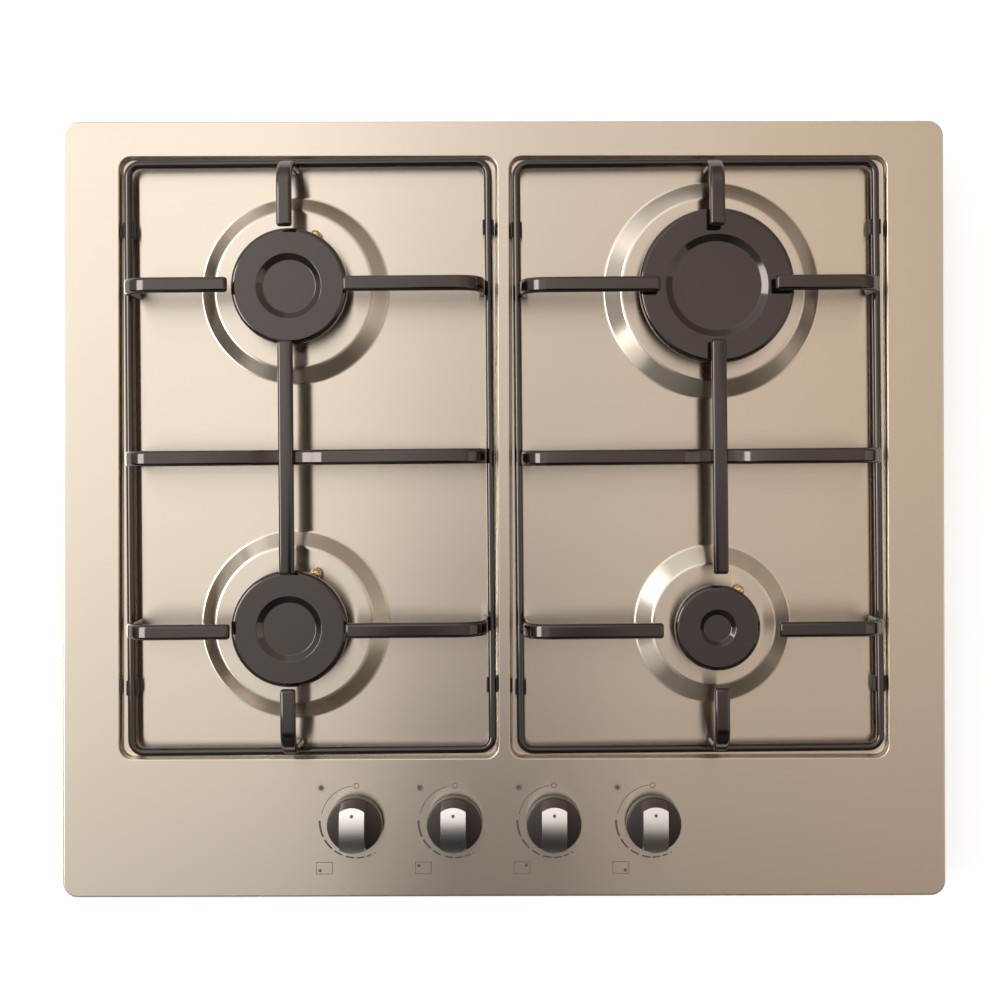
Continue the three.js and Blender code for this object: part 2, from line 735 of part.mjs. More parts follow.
const gripTop = knobShoulder + GRIP_HEIGHT;

// The moulded knob: a round base, a core for the grip, and a D-shaped bore from below.
function knob({ tapX }) {
  const rim = KNOB_RADIUS - KNOB_EDGE;
  const base = lofted(
    [circle(tapX, knobY, KNOB_RADIUS, ROUND_SIDES), knobBottom],
    [circle(tapX, knobY, KNOB_RADIUS, ROUND_SIDES), knobShoulder - KNOB_EDGE],
    [circle(tapX, knobY, rim, ROUND_SIDES), knobShoulder],
  );
  const coreInset = GRIP_WALL + FIT;
  const core = gripSlab(tapX, coreInset, knobShoulder - KNOB_EDGE, gripTop).intersect(
    arch(tapX, gripTop - coreInset),
  );
  const boreTop = stemTop + KNOB_TRAVEL + FIT;
  const bore = dShape(tapX, STEM_RADIUS + FIT, STEM_FLAT + FIT, knobBottom - OVERCUT, boreTop);
  return cut(join(base, core), bore);
}

// The metal grip: a thin arched cover over the knob's core.
function knobGrip({ tapX }) {
  const bottom = knobShoulder + FIT;
  const outer = gripSlab(tapX, 0, bottom, gripTop).intersect(arch(tapX, gripTop));
  const inner = gripSlab(tapX, GRIP_WALL, bottom - OVERCUT, gripTop);
  return cut(outer, inner.intersect(arch(tapX, gripTop - GRIP_WALL)));
}

// ---------------------------------------------------------------- pan supports

// A pan support's wire frame, as the four sides that its middle line runs on.
function frameSides(side) {
  const inner = CENTRE_BAR / 2 + WIRE_GAP_INNER;
  const outer = CENTRE_BAR / 2 + wellWidth - WIRE_GAP_OUTER;
  return {
    left: side < 0 ? -outer : inner,
    right: side < 0 ? -inner : outer,
    front: wellY - wellDepth / 2 + WIRE_GAP_FRONT,
    rear: wellY + wellDepth / 2 - WIRE_GAP_REAR,
  };
}

const wireZ = wellFloor + WIRE_LEVEL;
const barZ = panTop - BAR_THICKNESS / 2;
const legZ = wireZ - LEG_DROP - WIRE_RADIUS;
const legInset = WIRE_RADIUS + BAR_THICKNESS / 2 - WELD_DEPTH;
const supportTurn = THREE.MathUtils.degToRad(SUPPORT_TURN);

// A foot's width at a height, which leaves the leaning wall of the well free when it is turned.
function footWidth(z) {
  const lean = (WELL_WALL_RUN * (rimTop - z)) / WELL_DEPTH;
  const play = (FOOT_SPACING / 2) * Math.sin(supportTurn);
  return 2 * (WIRE_GAP_INNER - lean - play - FIT);
}

// The flat bar's section with its long edges broken: x is its thickness and y its width.
const barSection = [
  [BAR_THICKNESS / 2, BAR_WIDTH / 2 - BAR_EDGE],
  [BAR_THICKNESS / 2 - BAR_EDGE, BAR_WIDTH / 2],
  [BAR_EDGE - BAR_THICKNESS / 2, BAR_WIDTH / 2],
  [-BAR_THICKNESS / 2, BAR_WIDTH / 2 - BAR_EDGE],
  [-BAR_THICKNESS / 2, BAR_EDGE - BAR_WIDTH / 2],
  [BAR_EDGE - BAR_THICKNESS / 2, -BAR_WIDTH / 2],
  [BAR_THICKNESS / 2 - BAR_EDGE, -BAR_WIDTH / 2],
  [BAR_THICKNESS / 2, BAR_EDGE - BAR_WIDTH / 2],
].map(([x, y]) => new THREE.Vector2(x, y));

// A bar through corners that all lie in one upright plane with the given normal.
const bar = (corners, normal) =>
  swept(rounded(corners.map((corner) => new THREE.Vector3(...corner)), BAR_BEND), barSection, normal);

// A support: the wire frame, four fingers to each burner, a cross bar and a long bar.
function panSupport(side) {
  const { left, right, front, rear } = frameSides(side);
  const ring = [[left, front], [right, front], [right, rear], [left, rear]].map(
    (corner) => new THREE.Vector3(...corner, wireZ),
  );
  const pieces = [tube(rounded(ring, WIRE_CORNER, true), WIRE_RADIUS, true)];
  const x = side * burnerX;
  const acrossX = new THREE.Vector3(0, 1, 0);
  const alongY = new THREE.Vector3(1, 0, 0);
  const legLeft = left + legInset;
  const legRight = right - legInset;
  const legRear = rear - legInset;
  const legFront = front + legInset;
  const [rearBurner, frontBurner] = [1, -1].map((row) => wellY + (row * BURNER_SPACING_Y) / 2);
  const longRear = rearBurner - LONG_BAR_TIP_RADIUS;
  const longFront = frontBurner + LONG_BAR_TIP_RADIUS;
  for (const y of [rearBurner, frontBurner]) {
    pieces.push(
      bar([[legLeft, y, legZ], [legLeft, y, barZ], [x - TIP_RADIUS, y, barZ]], acrossX),
      bar([[legRight, y, legZ], [legRight, y, barZ], [x + TIP_RADIUS, y, barZ]], acrossX),
    );
  }
  pieces.push(
    bar([[x, legRear, legZ], [x, legRear, barZ], [x, rearBurner + TIP_RADIUS, barZ]], alongY),
    bar([[x, legFront, legZ], [x, legFront, barZ], [x, frontBurner - TIP_RADIUS, barZ]], alongY),
    bar([[x, longRear, barZ], [x, longFront, barZ]], alongY),
    bar(
      [
        [legLeft, wellY, legZ],
        [legLeft, wellY, barZ],
        [legRight, wellY, barZ],
        [legRight, wellY, legZ],
      ],
      acrossX,
    ),
  );
  return join(...pieces);
}

// A rubber foot: it grips the wire from below and stands on the well's floor.
function rubberFoot(wireX, row) {
  const y = wellY + (row * FOOT_SPACING) / 2;
  const bottom = wellFloor + FIT;
  const shoulder = wireZ - WIRE_RADIUS;
  const body = lofted(
    [rectangle(wireX, y, footWidth(bottom), FOOT_LENGTH), bottom],
    [rectangle(wireX, y, footWidth(shoulder), FOOT_LENGTH), shoulder],
    [rectangle(wireX, y, footWidth(shoulder), FOOT_LENGTH), wireZ + FOOT_GRIP],
  );
  const groove = cylinder(0, 0, WIRE_RADIUS + FIT, -FOOT_LENGTH, FOOT_LENGTH, TUBE_SIDES)
    .rotate([90, 0, 0])
    .translate([wireX, y, wireZ]);
  const mouthTop = wireZ + FOOT_GRIP + OVERCUT;
  const mouth = block(2 * WIRE_RADIUS, FOOT_LENGTH + 2 * OVERCUT, wireZ, mouthTop, wireX, y);
  return cut(body, groove, mouth);
}

// ---------------------------------------------------------------- materials and assembly

const finish = (color, roughness, metalness) => () =>
  new THREE.MeshStandardMaterial({ color, roughness, metalness });
const brushedSteel = finish(0xcdbfae, 0.35, 1);
const galvanised = finish(0xa7a8a6, 0.5, 1);
const enamel = finish(0x1a1817, 0.12, 0);
const castAluminium = finish(0xa9a8a5, 0.45, 1);
const brass = finish(0xc79a45, 0.3, 1);
const rubber = finish(0x1b1a19, 0.9, 0);
const foam = finish(0x3a3937, 0.95, 0);
const blackPlastic = finish(0x201e1d, 0.35, 0);
const gripMetal = finish(0xc9c6c2, 0.25, 1);
const greyPlastic = finish(0x8c8c8a, 0.6, 0);
const pipeMetal = finish(0xb9b9b6, 0.4, 1);

const cooktop = new THREE.Group();

function place(name, body, material, group = cooktop) {
  const mesh = new THREE.Mesh(geometryOf(body), material());
  mesh.name = name;
  group.add(mesh);
}

place("top_plate", topPlate(), brushedSteel);
place("bottom_tray", bottomTray(), galvanised);
place("worktop_seal", worktopSeal(), foam);
for (const [row, rowName] of [[1, "rear"], [-1, "front"]]) {
  for (const [side, sideName] of [[-1, "left"], [1, "right"]]) {
    place(`clamp_${rowName}_${sideName}`, clamp(side, row), galvanised);
  }
}
place("gas_rail", gasRail(), pipeMetal);
place("inlet_elbow", inletElbow(), brass);
place("spark_module", sparkModule(), greyPlastic);

for (const burner of burners) {
  const group = new THREE.Group();
  place(`burner_cup_${burner.name}`, burnerCup(burner), castAluminium, group);
  place(`injector_${burner.name}`, injector(burner), brass, group);
  place(`flame_crown_${burner.name}`, flameCrown(burner), castAluminium, group);
  place(`burner_cap_${burner.name}`, burnerCap(burner), enamel, group);
  place(`spark_plug_${burner.name}`, sparkPlug(burner), brass, group);
  place(`feed_pipe_${burner.name}`, feedPipe(burner), pipeMetal, group);
  place(`tap_body_${burner.name}`, tapBody(burner), brass, group);
  place(`tap_stem_${burner.name}`, tapStem(burner), galvanised, group);
  place(`knob_${burner.name}`, knob(burner), blackPlastic, group);
  place(`knob_grip_${burner.name}`, knobGrip(burner), gripMetal, group);
  cooktop.add(group);
}

// Each support lies turned a little about the middle of its well.
for (const [side, sideName] of [[-1, "left"], [1, "right"]]) {
  const group = new THREE.Group();
  const middle = new THREE.Vector3(side * wellX, wellY, 0);
  group.rotation.z = supportTurn;
  group.position.copy(middle).sub(middle.clone().applyEuler(group.rotation));
  place(`pan_support_${sideName}`, panSupport(side), enamel, group);
  const { left, right } = frameSides(side);
  const feet = [[left, 1], [right, 1], [left, -1], [right, -1]];
  feet.forEach(([wireX, row], i) => {
    place(`rubber_foot_${sideName}_${i + 1}`, rubberFoot(wireX, row), rubber, group);
  });
  cooktop.add(group);
}

export default cooktop;
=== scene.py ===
# %% [markdown]
# # A built-in gas cooktop with four burners
# The cooktop is a pressed steel plate over a tray, with enamelled pan supports, burner caps and four knobs.
# Its working parts come in as a fixed frame of solids. This script models what shows in finer shapes,
# gives every piece its finish, and sets up the camera, the light and the floor.

# %% Load the frame
import math

import bmesh
import bpy
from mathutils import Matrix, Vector


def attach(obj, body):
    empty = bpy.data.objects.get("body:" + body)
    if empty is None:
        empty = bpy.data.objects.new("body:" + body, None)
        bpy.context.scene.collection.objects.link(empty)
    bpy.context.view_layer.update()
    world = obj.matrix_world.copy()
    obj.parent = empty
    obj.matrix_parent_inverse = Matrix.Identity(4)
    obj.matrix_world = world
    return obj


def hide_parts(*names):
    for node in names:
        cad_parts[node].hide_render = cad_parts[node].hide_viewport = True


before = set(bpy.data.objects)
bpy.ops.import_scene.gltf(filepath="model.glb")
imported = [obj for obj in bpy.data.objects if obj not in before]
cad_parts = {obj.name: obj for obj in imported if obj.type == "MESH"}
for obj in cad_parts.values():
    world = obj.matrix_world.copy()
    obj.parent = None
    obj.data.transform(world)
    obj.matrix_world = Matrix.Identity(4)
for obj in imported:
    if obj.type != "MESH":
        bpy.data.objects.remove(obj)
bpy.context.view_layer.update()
MM = 0.001

# %% [markdown]
# ## Camera
# The photograph was taken from straight above with a long lens, a little off the middle of the plate.
# Such a place can be tried out by eye. Here it was worked out from the plate's corners, the knobs and the
# bars, whose heights differ, so that near and far edges line up together. Shift moves the picture in its
# frame without turning the camera.

# %% Add the camera
CAMERA_PLACE = (14.5 * MM, 34.3 * MM, 936.2 * MM)
CAMERA_TURN = (0.00453, -0.00241, -0.00196)
bpy.ops.object.select_all(action="DESELECT")
bpy.ops.object.camera_add(location=CAMERA_PLACE, rotation=CAMERA_TURN)
camera = bpy.context.object
camera.data.sensor_width = 36
camera.data.lens = 48.5
camera.data.shift_x = -0.0291
camera.data.shift_y = -0.05
camera.data.clip_end = 20
bpy.context.scene.camera = camera
print("camera", round(camera.location.z / MM), "mm above the tray's underside")

# %% [markdown]
# ## Floor
# The cooktop stands on a pale floor for the picture. A floor that only reflects light never turns quite
# white, so a little glow is added where the camera, or a reflection, looks at it. Its shadow stays.

# %% Lay the floor
def nodes_of(name):
    """A new material with an empty node tree, its nodes and its links."""
    material = bpy.data.materials.new(name)
    material.use_nodes = True
    material.node_tree.nodes.clear()
    return material, material.node_tree.nodes, material.node_tree.links


def number_math(nodes, links, operation, *values):
    """The result of a Math node. A value is a number or a socket."""
    node = nodes.new("ShaderNodeMath")
    node.operation = operation
    for socket, value in zip(node.inputs, values):
        if isinstance(value, (int, float)):
            socket.default_value = value
        else:
            links.new(value, socket)
    return node.outputs[0]


FLOOR_SIZE = 12
FLOOR_GLOW = 0.55
bpy.ops.object.select_all(action="DESELECT")
bpy.ops.mesh.primitive_plane_add(size=FLOOR_SIZE)
floor = bpy.context.object
floor.name = "floor"
paint, nodes, links = nodes_of("floor_paint")
matt = nodes.new("ShaderNodeBsdfDiffuse")
matt.inputs["Color"].default_value = (0.86, 0.86, 0.86, 1)
glow = nodes.new("ShaderNodeEmission")
glow.inputs["Color"].default_value = (1, 1, 1, 1)
path = nodes.new("ShaderNodeLightPath").outputs
watched = number_math(nodes, links, "MAXIMUM", path["Is Camera Ray"], path["Is Glossy Ray"])
watched = number_math(nodes, links, "MAXIMUM", watched, path["Is Transmission Ray"])
links.new(number_math(nodes, links, "MULTIPLY", watched, FLOOR_GLOW), glow.inputs["Strength"])
both = nodes.new("ShaderNodeAddShader")
links.new(matt.outputs[0], both.inputs[0])
links.new(glow.outputs[0], both.inputs[1])
output = nodes.new("ShaderNodeOutputMaterial")
links.new(both.outputs[0], output.inputs["Surface"])
floor.data.materials.append(paint)

# %% [markdown]
# ## Light
# The steel shows its surroundings: bright from the left, dimmer to the right and near the horizon. A photo
# of a studio could be wrapped round the scene. A gradient in the world does the same with no picture: it
# reads where the ray would meet a flat ceiling. The camera itself sees plain white.

# %% Helpers for the world
scene = bpy.context.scene
scene.view_settings.view_transform = "Standard"
world = bpy.data.worlds.new("studio")
scene.world = world
world.use_nodes = True
nodes, links = world.node_tree.nodes, world.node_tree.links
nodes.clear()


def vector_math(nodes, links, operation, first, second):
    """The result of a Vector Math node. A value is three numbers or a socket."""
    node = nodes.new("ShaderNodeVectorMath")
    node.operation = operation
    for socket, value in zip(node.inputs, (first, second)):
        if isinstance(value, tuple):
            socket.default_value = value
        else:
            links.new(value, socket)
    return node.outputs["Value" if operation == "LENGTH" else "Vector"]


def ramp(nodes, links, source, low, high, *stops):
    """A colour ramp that runs over source from low to high. A stop is (value, colour)."""
    place = nodes.new("ShaderNodeMapRange")
    place.inputs["From Min"].default_value = low
    place.inputs["From Max"].default_value = high
    links.new(source, place.inputs["Value"])
    colours = nodes.new("ShaderNodeValToRGB")
    elements = colours.color_ramp.elements
    while len(elements) < len(stops):
        elements.new(0.5)
    for element, (at, colour) in zip(elements, stops):
        element.position = (at - low) / (high - low)
        element.color = (*colour, 1) if isinstance(colour, tuple) else (colour, colour, colour, 1)
    links.new(place.outputs[0], colours.inputs["Fac"])
    return colours.outputs["Color"]


def multiplied(nodes, links, first, second):
    """Two colours multiplied."""
    node = nodes.new("ShaderNodeMix")
    node.data_type = "RGBA"
    node.blend_type = "MULTIPLY"
    node.inputs["Factor"].default_value = 1
    links.new(first, node.inputs["A"])
    links.new(second, node.inputs["B"])
    return node.outputs["Result"]


# %% [markdown]
# A ray's direction divided by its rise is the place where it meets a ceiling one unit up. Low rays would
# meet it endlessly far away, so the rise is kept above a least value.

# %% Paint the ceiling that the steel mirrors
LEAST_RISE = 0.05
direction = nodes.new("ShaderNodeTexCoord").outputs["Generated"]
split = nodes.new("ShaderNodeSeparateXYZ")
links.new(direction, split.inputs[0])
height = number_math(nodes, links, "MAXIMUM", split.outputs["Z"], LEAST_RISE)
heights = nodes.new("ShaderNodeCombineXYZ")
for axis in "XYZ":
    links.new(height, heights.inputs[axis])
ceiling = vector_math(nodes, links, "DIVIDE", direction, heights.outputs[0])
on_ceiling = nodes.new("ShaderNodeSeparateXYZ")
links.new(ceiling, on_ceiling.inputs[0])
across = ramp(nodes, links, on_ceiling.outputs["X"], -1.0, 1.0,
              (-0.6, (0.93, 0.92, 0.91)), (-0.2, (0.93, 0.91, 0.89)), (-0.07, (0.75, 0.72, 0.70)),
              (0.05, (0.62, 0.575, 0.545)), (0.25, (0.645, 0.565, 0.495)), (0.6, (0.52, 0.455, 0.40)))
along = ramp(nodes, links, on_ceiling.outputs["Y"], -1.0, 1.0,
             (-1.0, 0.18), (-0.45, 0.29), (-0.3, 0.54), (-0.12, 0.71), (0.0, 0.89), (0.13, 1.0), (0.35, 1.04))
rise = ramp(nodes, links, split.outputs["Z"], 0.0, 1.0, (0.0, 0.4), (0.5, 0.5), (0.85, 1.0))
studio = multiplied(nodes, links, multiplied(nodes, links, across, along), rise)


def dark_patch(middle, size, edge, light):
    """A soft spot on the ceiling with less light. Edge is the part of its radius that fades."""
    offset = vector_math(nodes, links, "SUBTRACT", ceiling, middle)
    scaled = vector_math(nodes, links, "DIVIDE", offset, size)
    distance = vector_math(nodes, links, "LENGTH", scaled, (0, 0, 0))
    return ramp(nodes, links, distance, 0, 1, (1 - edge, light), (1, 1.0))


# A wide and a narrow patch in front, and a faint one towards the rear right.
for spot in (dark_patch((0, -0.62, 1), (0.42, 0.38, 1), 0.5, 0.12),
             dark_patch((-0.03, -0.52, 1), (0.13, 0.48, 1), 0.35, 0.0),
             dark_patch((0.32, 0.3, 1), (0.26, 0.24, 1), 0.8, 0.5)):
    studio = multiplied(nodes, links, studio, spot)

# %% [markdown]
# The camera and glass see plain white. Metal sees it too near the horizon, where the pale floor would end.

# %% Choose between the ceiling and white
HORIZON = 0.06
STUDIO_STRENGTH = 1.5
low_down = nodes.new("ShaderNodeMapRange")
low_down.inputs["From Min"].default_value = HORIZON
low_down.inputs["From Max"].default_value = 0.0
links.new(split.outputs["Z"], low_down.inputs["Value"])
path = nodes.new("ShaderNodeLightPath").outputs
glossy = number_math(nodes, links, "MULTIPLY", path["Is Glossy Ray"], low_down.outputs[0])
white_ray = path["Is Camera Ray"]
for other in (path["Is Transmission Ray"], glossy):
    white_ray = number_math(nodes, links, "MAXIMUM", white_ray, other)
lit = nodes.new("ShaderNodeBackground")
lit.inputs["Strength"].default_value = STUDIO_STRENGTH
links.new(studio, lit.inputs["Color"])
plain = nodes.new("ShaderNodeBackground")
plain.inputs["Color"].default_value = (1, 1, 1, 1)
chosen = nodes.new("ShaderNodeMixShader")
links.new(white_ray, chosen.inputs[0])
links.new(lit.outputs[0], chosen.inputs[1])
links.new(plain.outputs[0], chosen.inputs[2])
output = nodes.new("ShaderNodeOutputWorld")
links.new(chosen.outputs[0], output.inputs["Surface"])

# %% [markdown]
# One large lamp on the left gives the soft light that models the knobs and bars, and a weaker one on the
# right opens the shadows. A small lamp would give hard shadows, which a studio avoids.

# %% Add the lamps
def softbox(name, place, size, power, colour):
    """A square lamp in millimetres that faces the middle of the cooktop."""
    bpy.ops.object.select_all(action="DESELECT")
    bpy.ops.object.light_add(type="AREA", location=[v * MM for v in place])
    lamp = bpy.context.object
    lamp.name = name
    lamp.data.shape = "RECTANGLE"
    lamp.data.size, lamp.data.size_y = size[0] * MM, size[1] * MM
    lamp.data.energy = power
    lamp.data.color = colour
    aim = Vector((0, 0, 50 * MM)) - lamp.location
    lamp.rotation_euler = aim.to_track_quat("-Z", "Y").to_euler()
    return lamp


softbox("softbox_left", (-1150, 120, 1250), (1000, 600), 11.5, (1.0, 0.985, 0.96))
softbox("softbox_right", (1500, -300, 1100), (900, 1200), 2, (1.0, 0.95, 0.88))

# %% [markdown]
# ## Modelling helpers
# Most pieces of a cooktop are turned, bent or pressed, so a few moves make nearly all of them. An outline is
# drawn as corners with a radius each, as on a workshop drawing, and `eased` turns it into points. Each
# straight keeps a point close to its bends: that holds flat faces flat when the piece is shaded smooth.

# %% Outlines with rounded corners
def eased(corners, steps=5, hold=0.4, closed=False):
    """Points along an outline. A corner is (across, up) or (across, up, radius), in millimetres."""
    points = []
    count = len(corners)
    for i, (across, up, *rest) in enumerate(corners):
        here = Vector((across, up))
        if not rest or (not closed and i in (0, count - 1)):
            points.append(here)
            continue
        back = Vector(corners[i - 1][:2]) - here
        ahead = Vector(corners[(i + 1) % count][:2]) - here
        half = back.angle(ahead) / 2
        reach = rest[0] / math.tan(half)
        middle = here + (back.normalized() + ahead.normalized()).normalized() * (rest[0] / math.sin(half))
        start = here + back.normalized() * reach - middle
        end = here + ahead.normalized() * reach - middle
        first = math.atan2(start.y, start.x)
        turn = (math.atan2(end.y, end.x) - first + math.pi) % (2 * math.pi) - math.pi
        if back.length > reach + 2 * hold:
            points.append(here + back.normalized() * (reach + hold))
        for step in range(steps + 1):
            angle = first + turn * step / steps
            points.append(middle + Vector((math.cos(angle), math.sin(angle))) * rest[0])
        if ahead.length > reach + 2 * hold:
            points.append(here + ahead.normalized() * (reach + hold))
    return points


# %% [markdown]
# A piece starts as a primitive at the origin of the frame, is edited, and gets modifiers that are applied at
# once. Selections are made in code, by the place of a face or an edge, as there is no mouse to click with.

# %% Adding, selecting and finishing a piece
def add(primitive, name, **settings):
    """Adds a primitive with nothing else selected, with its place in its mesh."""
    if bpy.context.object and bpy.context.object.mode == "EDIT":
        bpy.ops.object.mode_set(mode="OBJECT")
    bpy.ops.object.select_all(action="DESELECT")
    primitive(**settings)
    bpy.ops.object.transform_apply(location=True, rotation=True, scale=True)
    piece = bpy.context.object
    piece.name = piece.data.name = name
    return piece


def edit_all():
    """Goes into edit mode with the whole piece selected, down to its last vertex."""
    bpy.ops.object.mode_set(mode="EDIT")
    bpy.ops.mesh.select_mode(type="VERT")
    bpy.ops.mesh.select_all(action="SELECT")


def select(piece, test, kind="faces"):
    """In edit mode, selects only the faces, edges or verts whose middle, in millimetres, passes test."""
    mesh = bmesh.from_edit_mesh(piece.data)
    bpy.ops.mesh.select_mode(type={"faces": "FACE", "edges": "EDGE", "verts": "VERT"}[kind])
    bpy.ops.mesh.select_all(action="DESELECT")
    chosen = 0
    for element in getattr(mesh, kind):
        if kind == "faces":
            middle = element.calc_center_median()
        elif kind == "edges":
            middle = (element.verts[0].co + element.verts[1].co) / 2
        else:
            middle = element.co
        if test(middle / MM, element):
            element.select = True
            chosen += 1
    mesh.select_flush_mode()
    bmesh.update_edit_mesh(piece.data)
    return chosen


def only(*pieces):
    """Back to object mode with only these pieces selected. The last one is active."""
    if bpy.context.object and bpy.context.object.mode == "EDIT":
        bpy.ops.object.mode_set(mode="OBJECT")
    bpy.ops.object.select_all(action="DESELECT")
    for piece in pieces:
        piece.select_set(True)
    bpy.context.view_layer.objects.active = pieces[-1]
    return pieces[-1]


def modifier(piece, kind, **settings):
    """Adds a modifier to a piece, sets it up and applies it."""
    only(piece)
    added = piece.modifiers.new(kind.lower(), kind)
    for key, value in settings.items():
        setattr(added, key, value)
    bpy.ops.object.modifier_apply(modifier=added.name)


def welded(name, *pieces):
    """Joins pieces into one object."""
    only(*reversed(pieces))
    bpy.ops.object.join()
    piece = bpy.context.object
    piece.name = piece.data.name = name
    return piece


def smooth(piece, angle=32):
    """Closes seams, turns the faces outwards and shades smooth over edges below an angle."""
    only(piece)
    edit_all()
    bpy.ops.mesh.remove_doubles(threshold=0.002 * MM)
    bpy.ops.mesh.normals_make_consistent(inside=False)
    bpy.ops.object.mode_set(mode="OBJECT")
    bpy.ops.object.shade_smooth_by_angle(angle=math.radians(angle))
    return piece


# %% [markdown]
# A lathe turns round pieces. `turned` does the same by hand moves: a circle is extruded from point to point
# of an outline, and scaled to its radius at each. The spin tool would do too, but here each ring is known.

# %% A helper for turned pieces
def walk(outline, centre):
    """In edit mode, extrudes the selected ring or disc along an outline of (radius, height) points."""
    for here, there in zip(outline, outline[1:]):
        bpy.ops.mesh.extrude_region_move(
            TRANSFORM_OT_translate={"value": (0, 0, (there[1] - here[1]) * MM)})
        factor = there[0] / here[0]
        bpy.ops.transform.resize(value=(factor, factor, 1), center_override=centre)


def turned(name, x, y, outline, sides=96, lids=True):
    """A round piece about an upright axis. Without lids the outline closes on itself."""
    centre = (x * MM, y * MM, 0)
    ring = add(bpy.ops.mesh.primitive_circle_add, name, vertices=sides, radius=outline[0][0] * MM,
               fill_type="NGON" if lids else "NOTHING", location=(x * MM, y * MM, outline[0][1] * MM))
    edit_all()
    walk(outline if lids else list(outline) + [outline[0]], centre)
    return smooth(ring)


# %% [markdown]
# ## Finishes
# Brushed steel, black enamel, cast metal and moulded plastic differ in colour, but share a few effects:
# fine lines from brushing, cloudy patches where hands and cloths went, and a fine grain or dimple. Each
# effect is one node group with named inputs and outputs, placed in each material with its own values.

# %% Effects that finishes share
def effect(name, inputs, outputs):
    """An empty node group with float inputs {name: start value} and outputs."""
    group = bpy.data.node_groups.new(name, "ShaderNodeTree")
    for key, value in inputs.items():
        socket = group.interface.new_socket(key, in_out="INPUT", socket_type="NodeSocketFloat")
        socket.default_value = value
    for key in outputs:
        group.interface.new_socket(key, in_out="OUTPUT", socket_type="NodeSocketFloat")
    return group, group.nodes.new("NodeGroupInput"), group.nodes.new("NodeGroupOutput")


def scaled_noise(group, scale, detail, stretch=(1, 1, 1), roughness=0.5):
    """Noise on object coordinates, drawn out by stretch. Scale is a value in metres or a socket."""
    nodes, links = group.nodes, group.links
    place = nodes.new("ShaderNodeTexCoord")
    drawn = nodes.new("ShaderNodeMapping")
    drawn.inputs["Scale"].default_value = stretch
    links.new(place.outputs["Object"], drawn.inputs["Vector"])
    noise = nodes.new("ShaderNodeTexNoise")
    noise.inputs["Detail"].default_value = detail
    noise.inputs["Roughness"].default_value = roughness
    links.new(drawn.outputs["Vector"], noise.inputs["Vector"])
    if isinstance(scale, (int, float)):
        noise.inputs["Scale"].default_value = scale
    else:
        links.new(scale, noise.inputs["Scale"])
    return noise.outputs["Fac"]


def around(group, noise, middle, spread):
    """middle + (noise - 0.5) * spread"""
    centred = number_math(group.nodes, group.links, "SUBTRACT", noise, 0.5)
    return number_math(group.nodes, group.links, "MULTIPLY_ADD", centred, spread, middle)


# Lines from brushing run left to right. Height feeds a bump and Tone shades the colour.
brushing, source, result = effect("brushing", {"Fineness": 900, "Tone Spread": 0.05}, ["Height", "Tone"])
lines = scaled_noise(brushing, source.outputs["Fineness"], 3, stretch=(0.02, 1, 1), roughness=0.7)
brushing.links.new(lines, result.inputs["Height"])
brushing.links.new(around(brushing, lines, 1, source.outputs["Tone Spread"]), result.inputs["Tone"])

# Slow cloudy patches that vary how rough a surface is, and a little how bright.
clouds, source, result = effect(
    "clouds", {"Patch Scale": 9, "Roughness": 0.3, "Roughness Spread": 0.08, "Tone Spread": 0.05},
    ["Roughness", "Tone"])
patches = scaled_noise(clouds, source.outputs["Patch Scale"], 4)
clouds.links.new(
    around(clouds, patches, source.outputs["Roughness"], source.outputs["Roughness Spread"]),
    result.inputs["Roughness"])
clouds.links.new(around(clouds, patches, 1, source.outputs["Tone Spread"]), result.inputs["Tone"])

# A fine dimple or grain, as on enamel, cast metal and moulded plastic.
grain, source, result = effect("grain", {"Fineness": 1500, "Tone Spread": 0.1}, ["Height", "Tone"])
specks = scaled_noise(grain, source.outputs["Fineness"], 2)
grain.links.new(specks, result.inputs["Height"])
grain.links.new(around(grain, specks, 1, source.outputs["Tone Spread"]), result.inputs["Tone"])
print("effects:", ", ".join(group.name for group in bpy.data.node_groups))

# %% [markdown]
# A finish is a material that joins effects. The colours come from looking at the object, and each is
# multiplied by the tones of its effects, so that no face is one flat colour. Metal has a Metallic of 1
# and tints what it mirrors. Enamel could be a dark base with a coat; here its high IOR alone makes the gloss.

# %% A helper for finishes
BUMP_DEPTH = 0.1 * MM


def place_effect(nodes, group, **values):
    """An effect's node, with values for its inputs. A low line in a name stands for a space."""
    node = nodes.new("ShaderNodeGroup")
    node.node_tree = group
    for key, value in values.items():
        node.inputs[key.replace("_", " ")].default_value = value
    return node


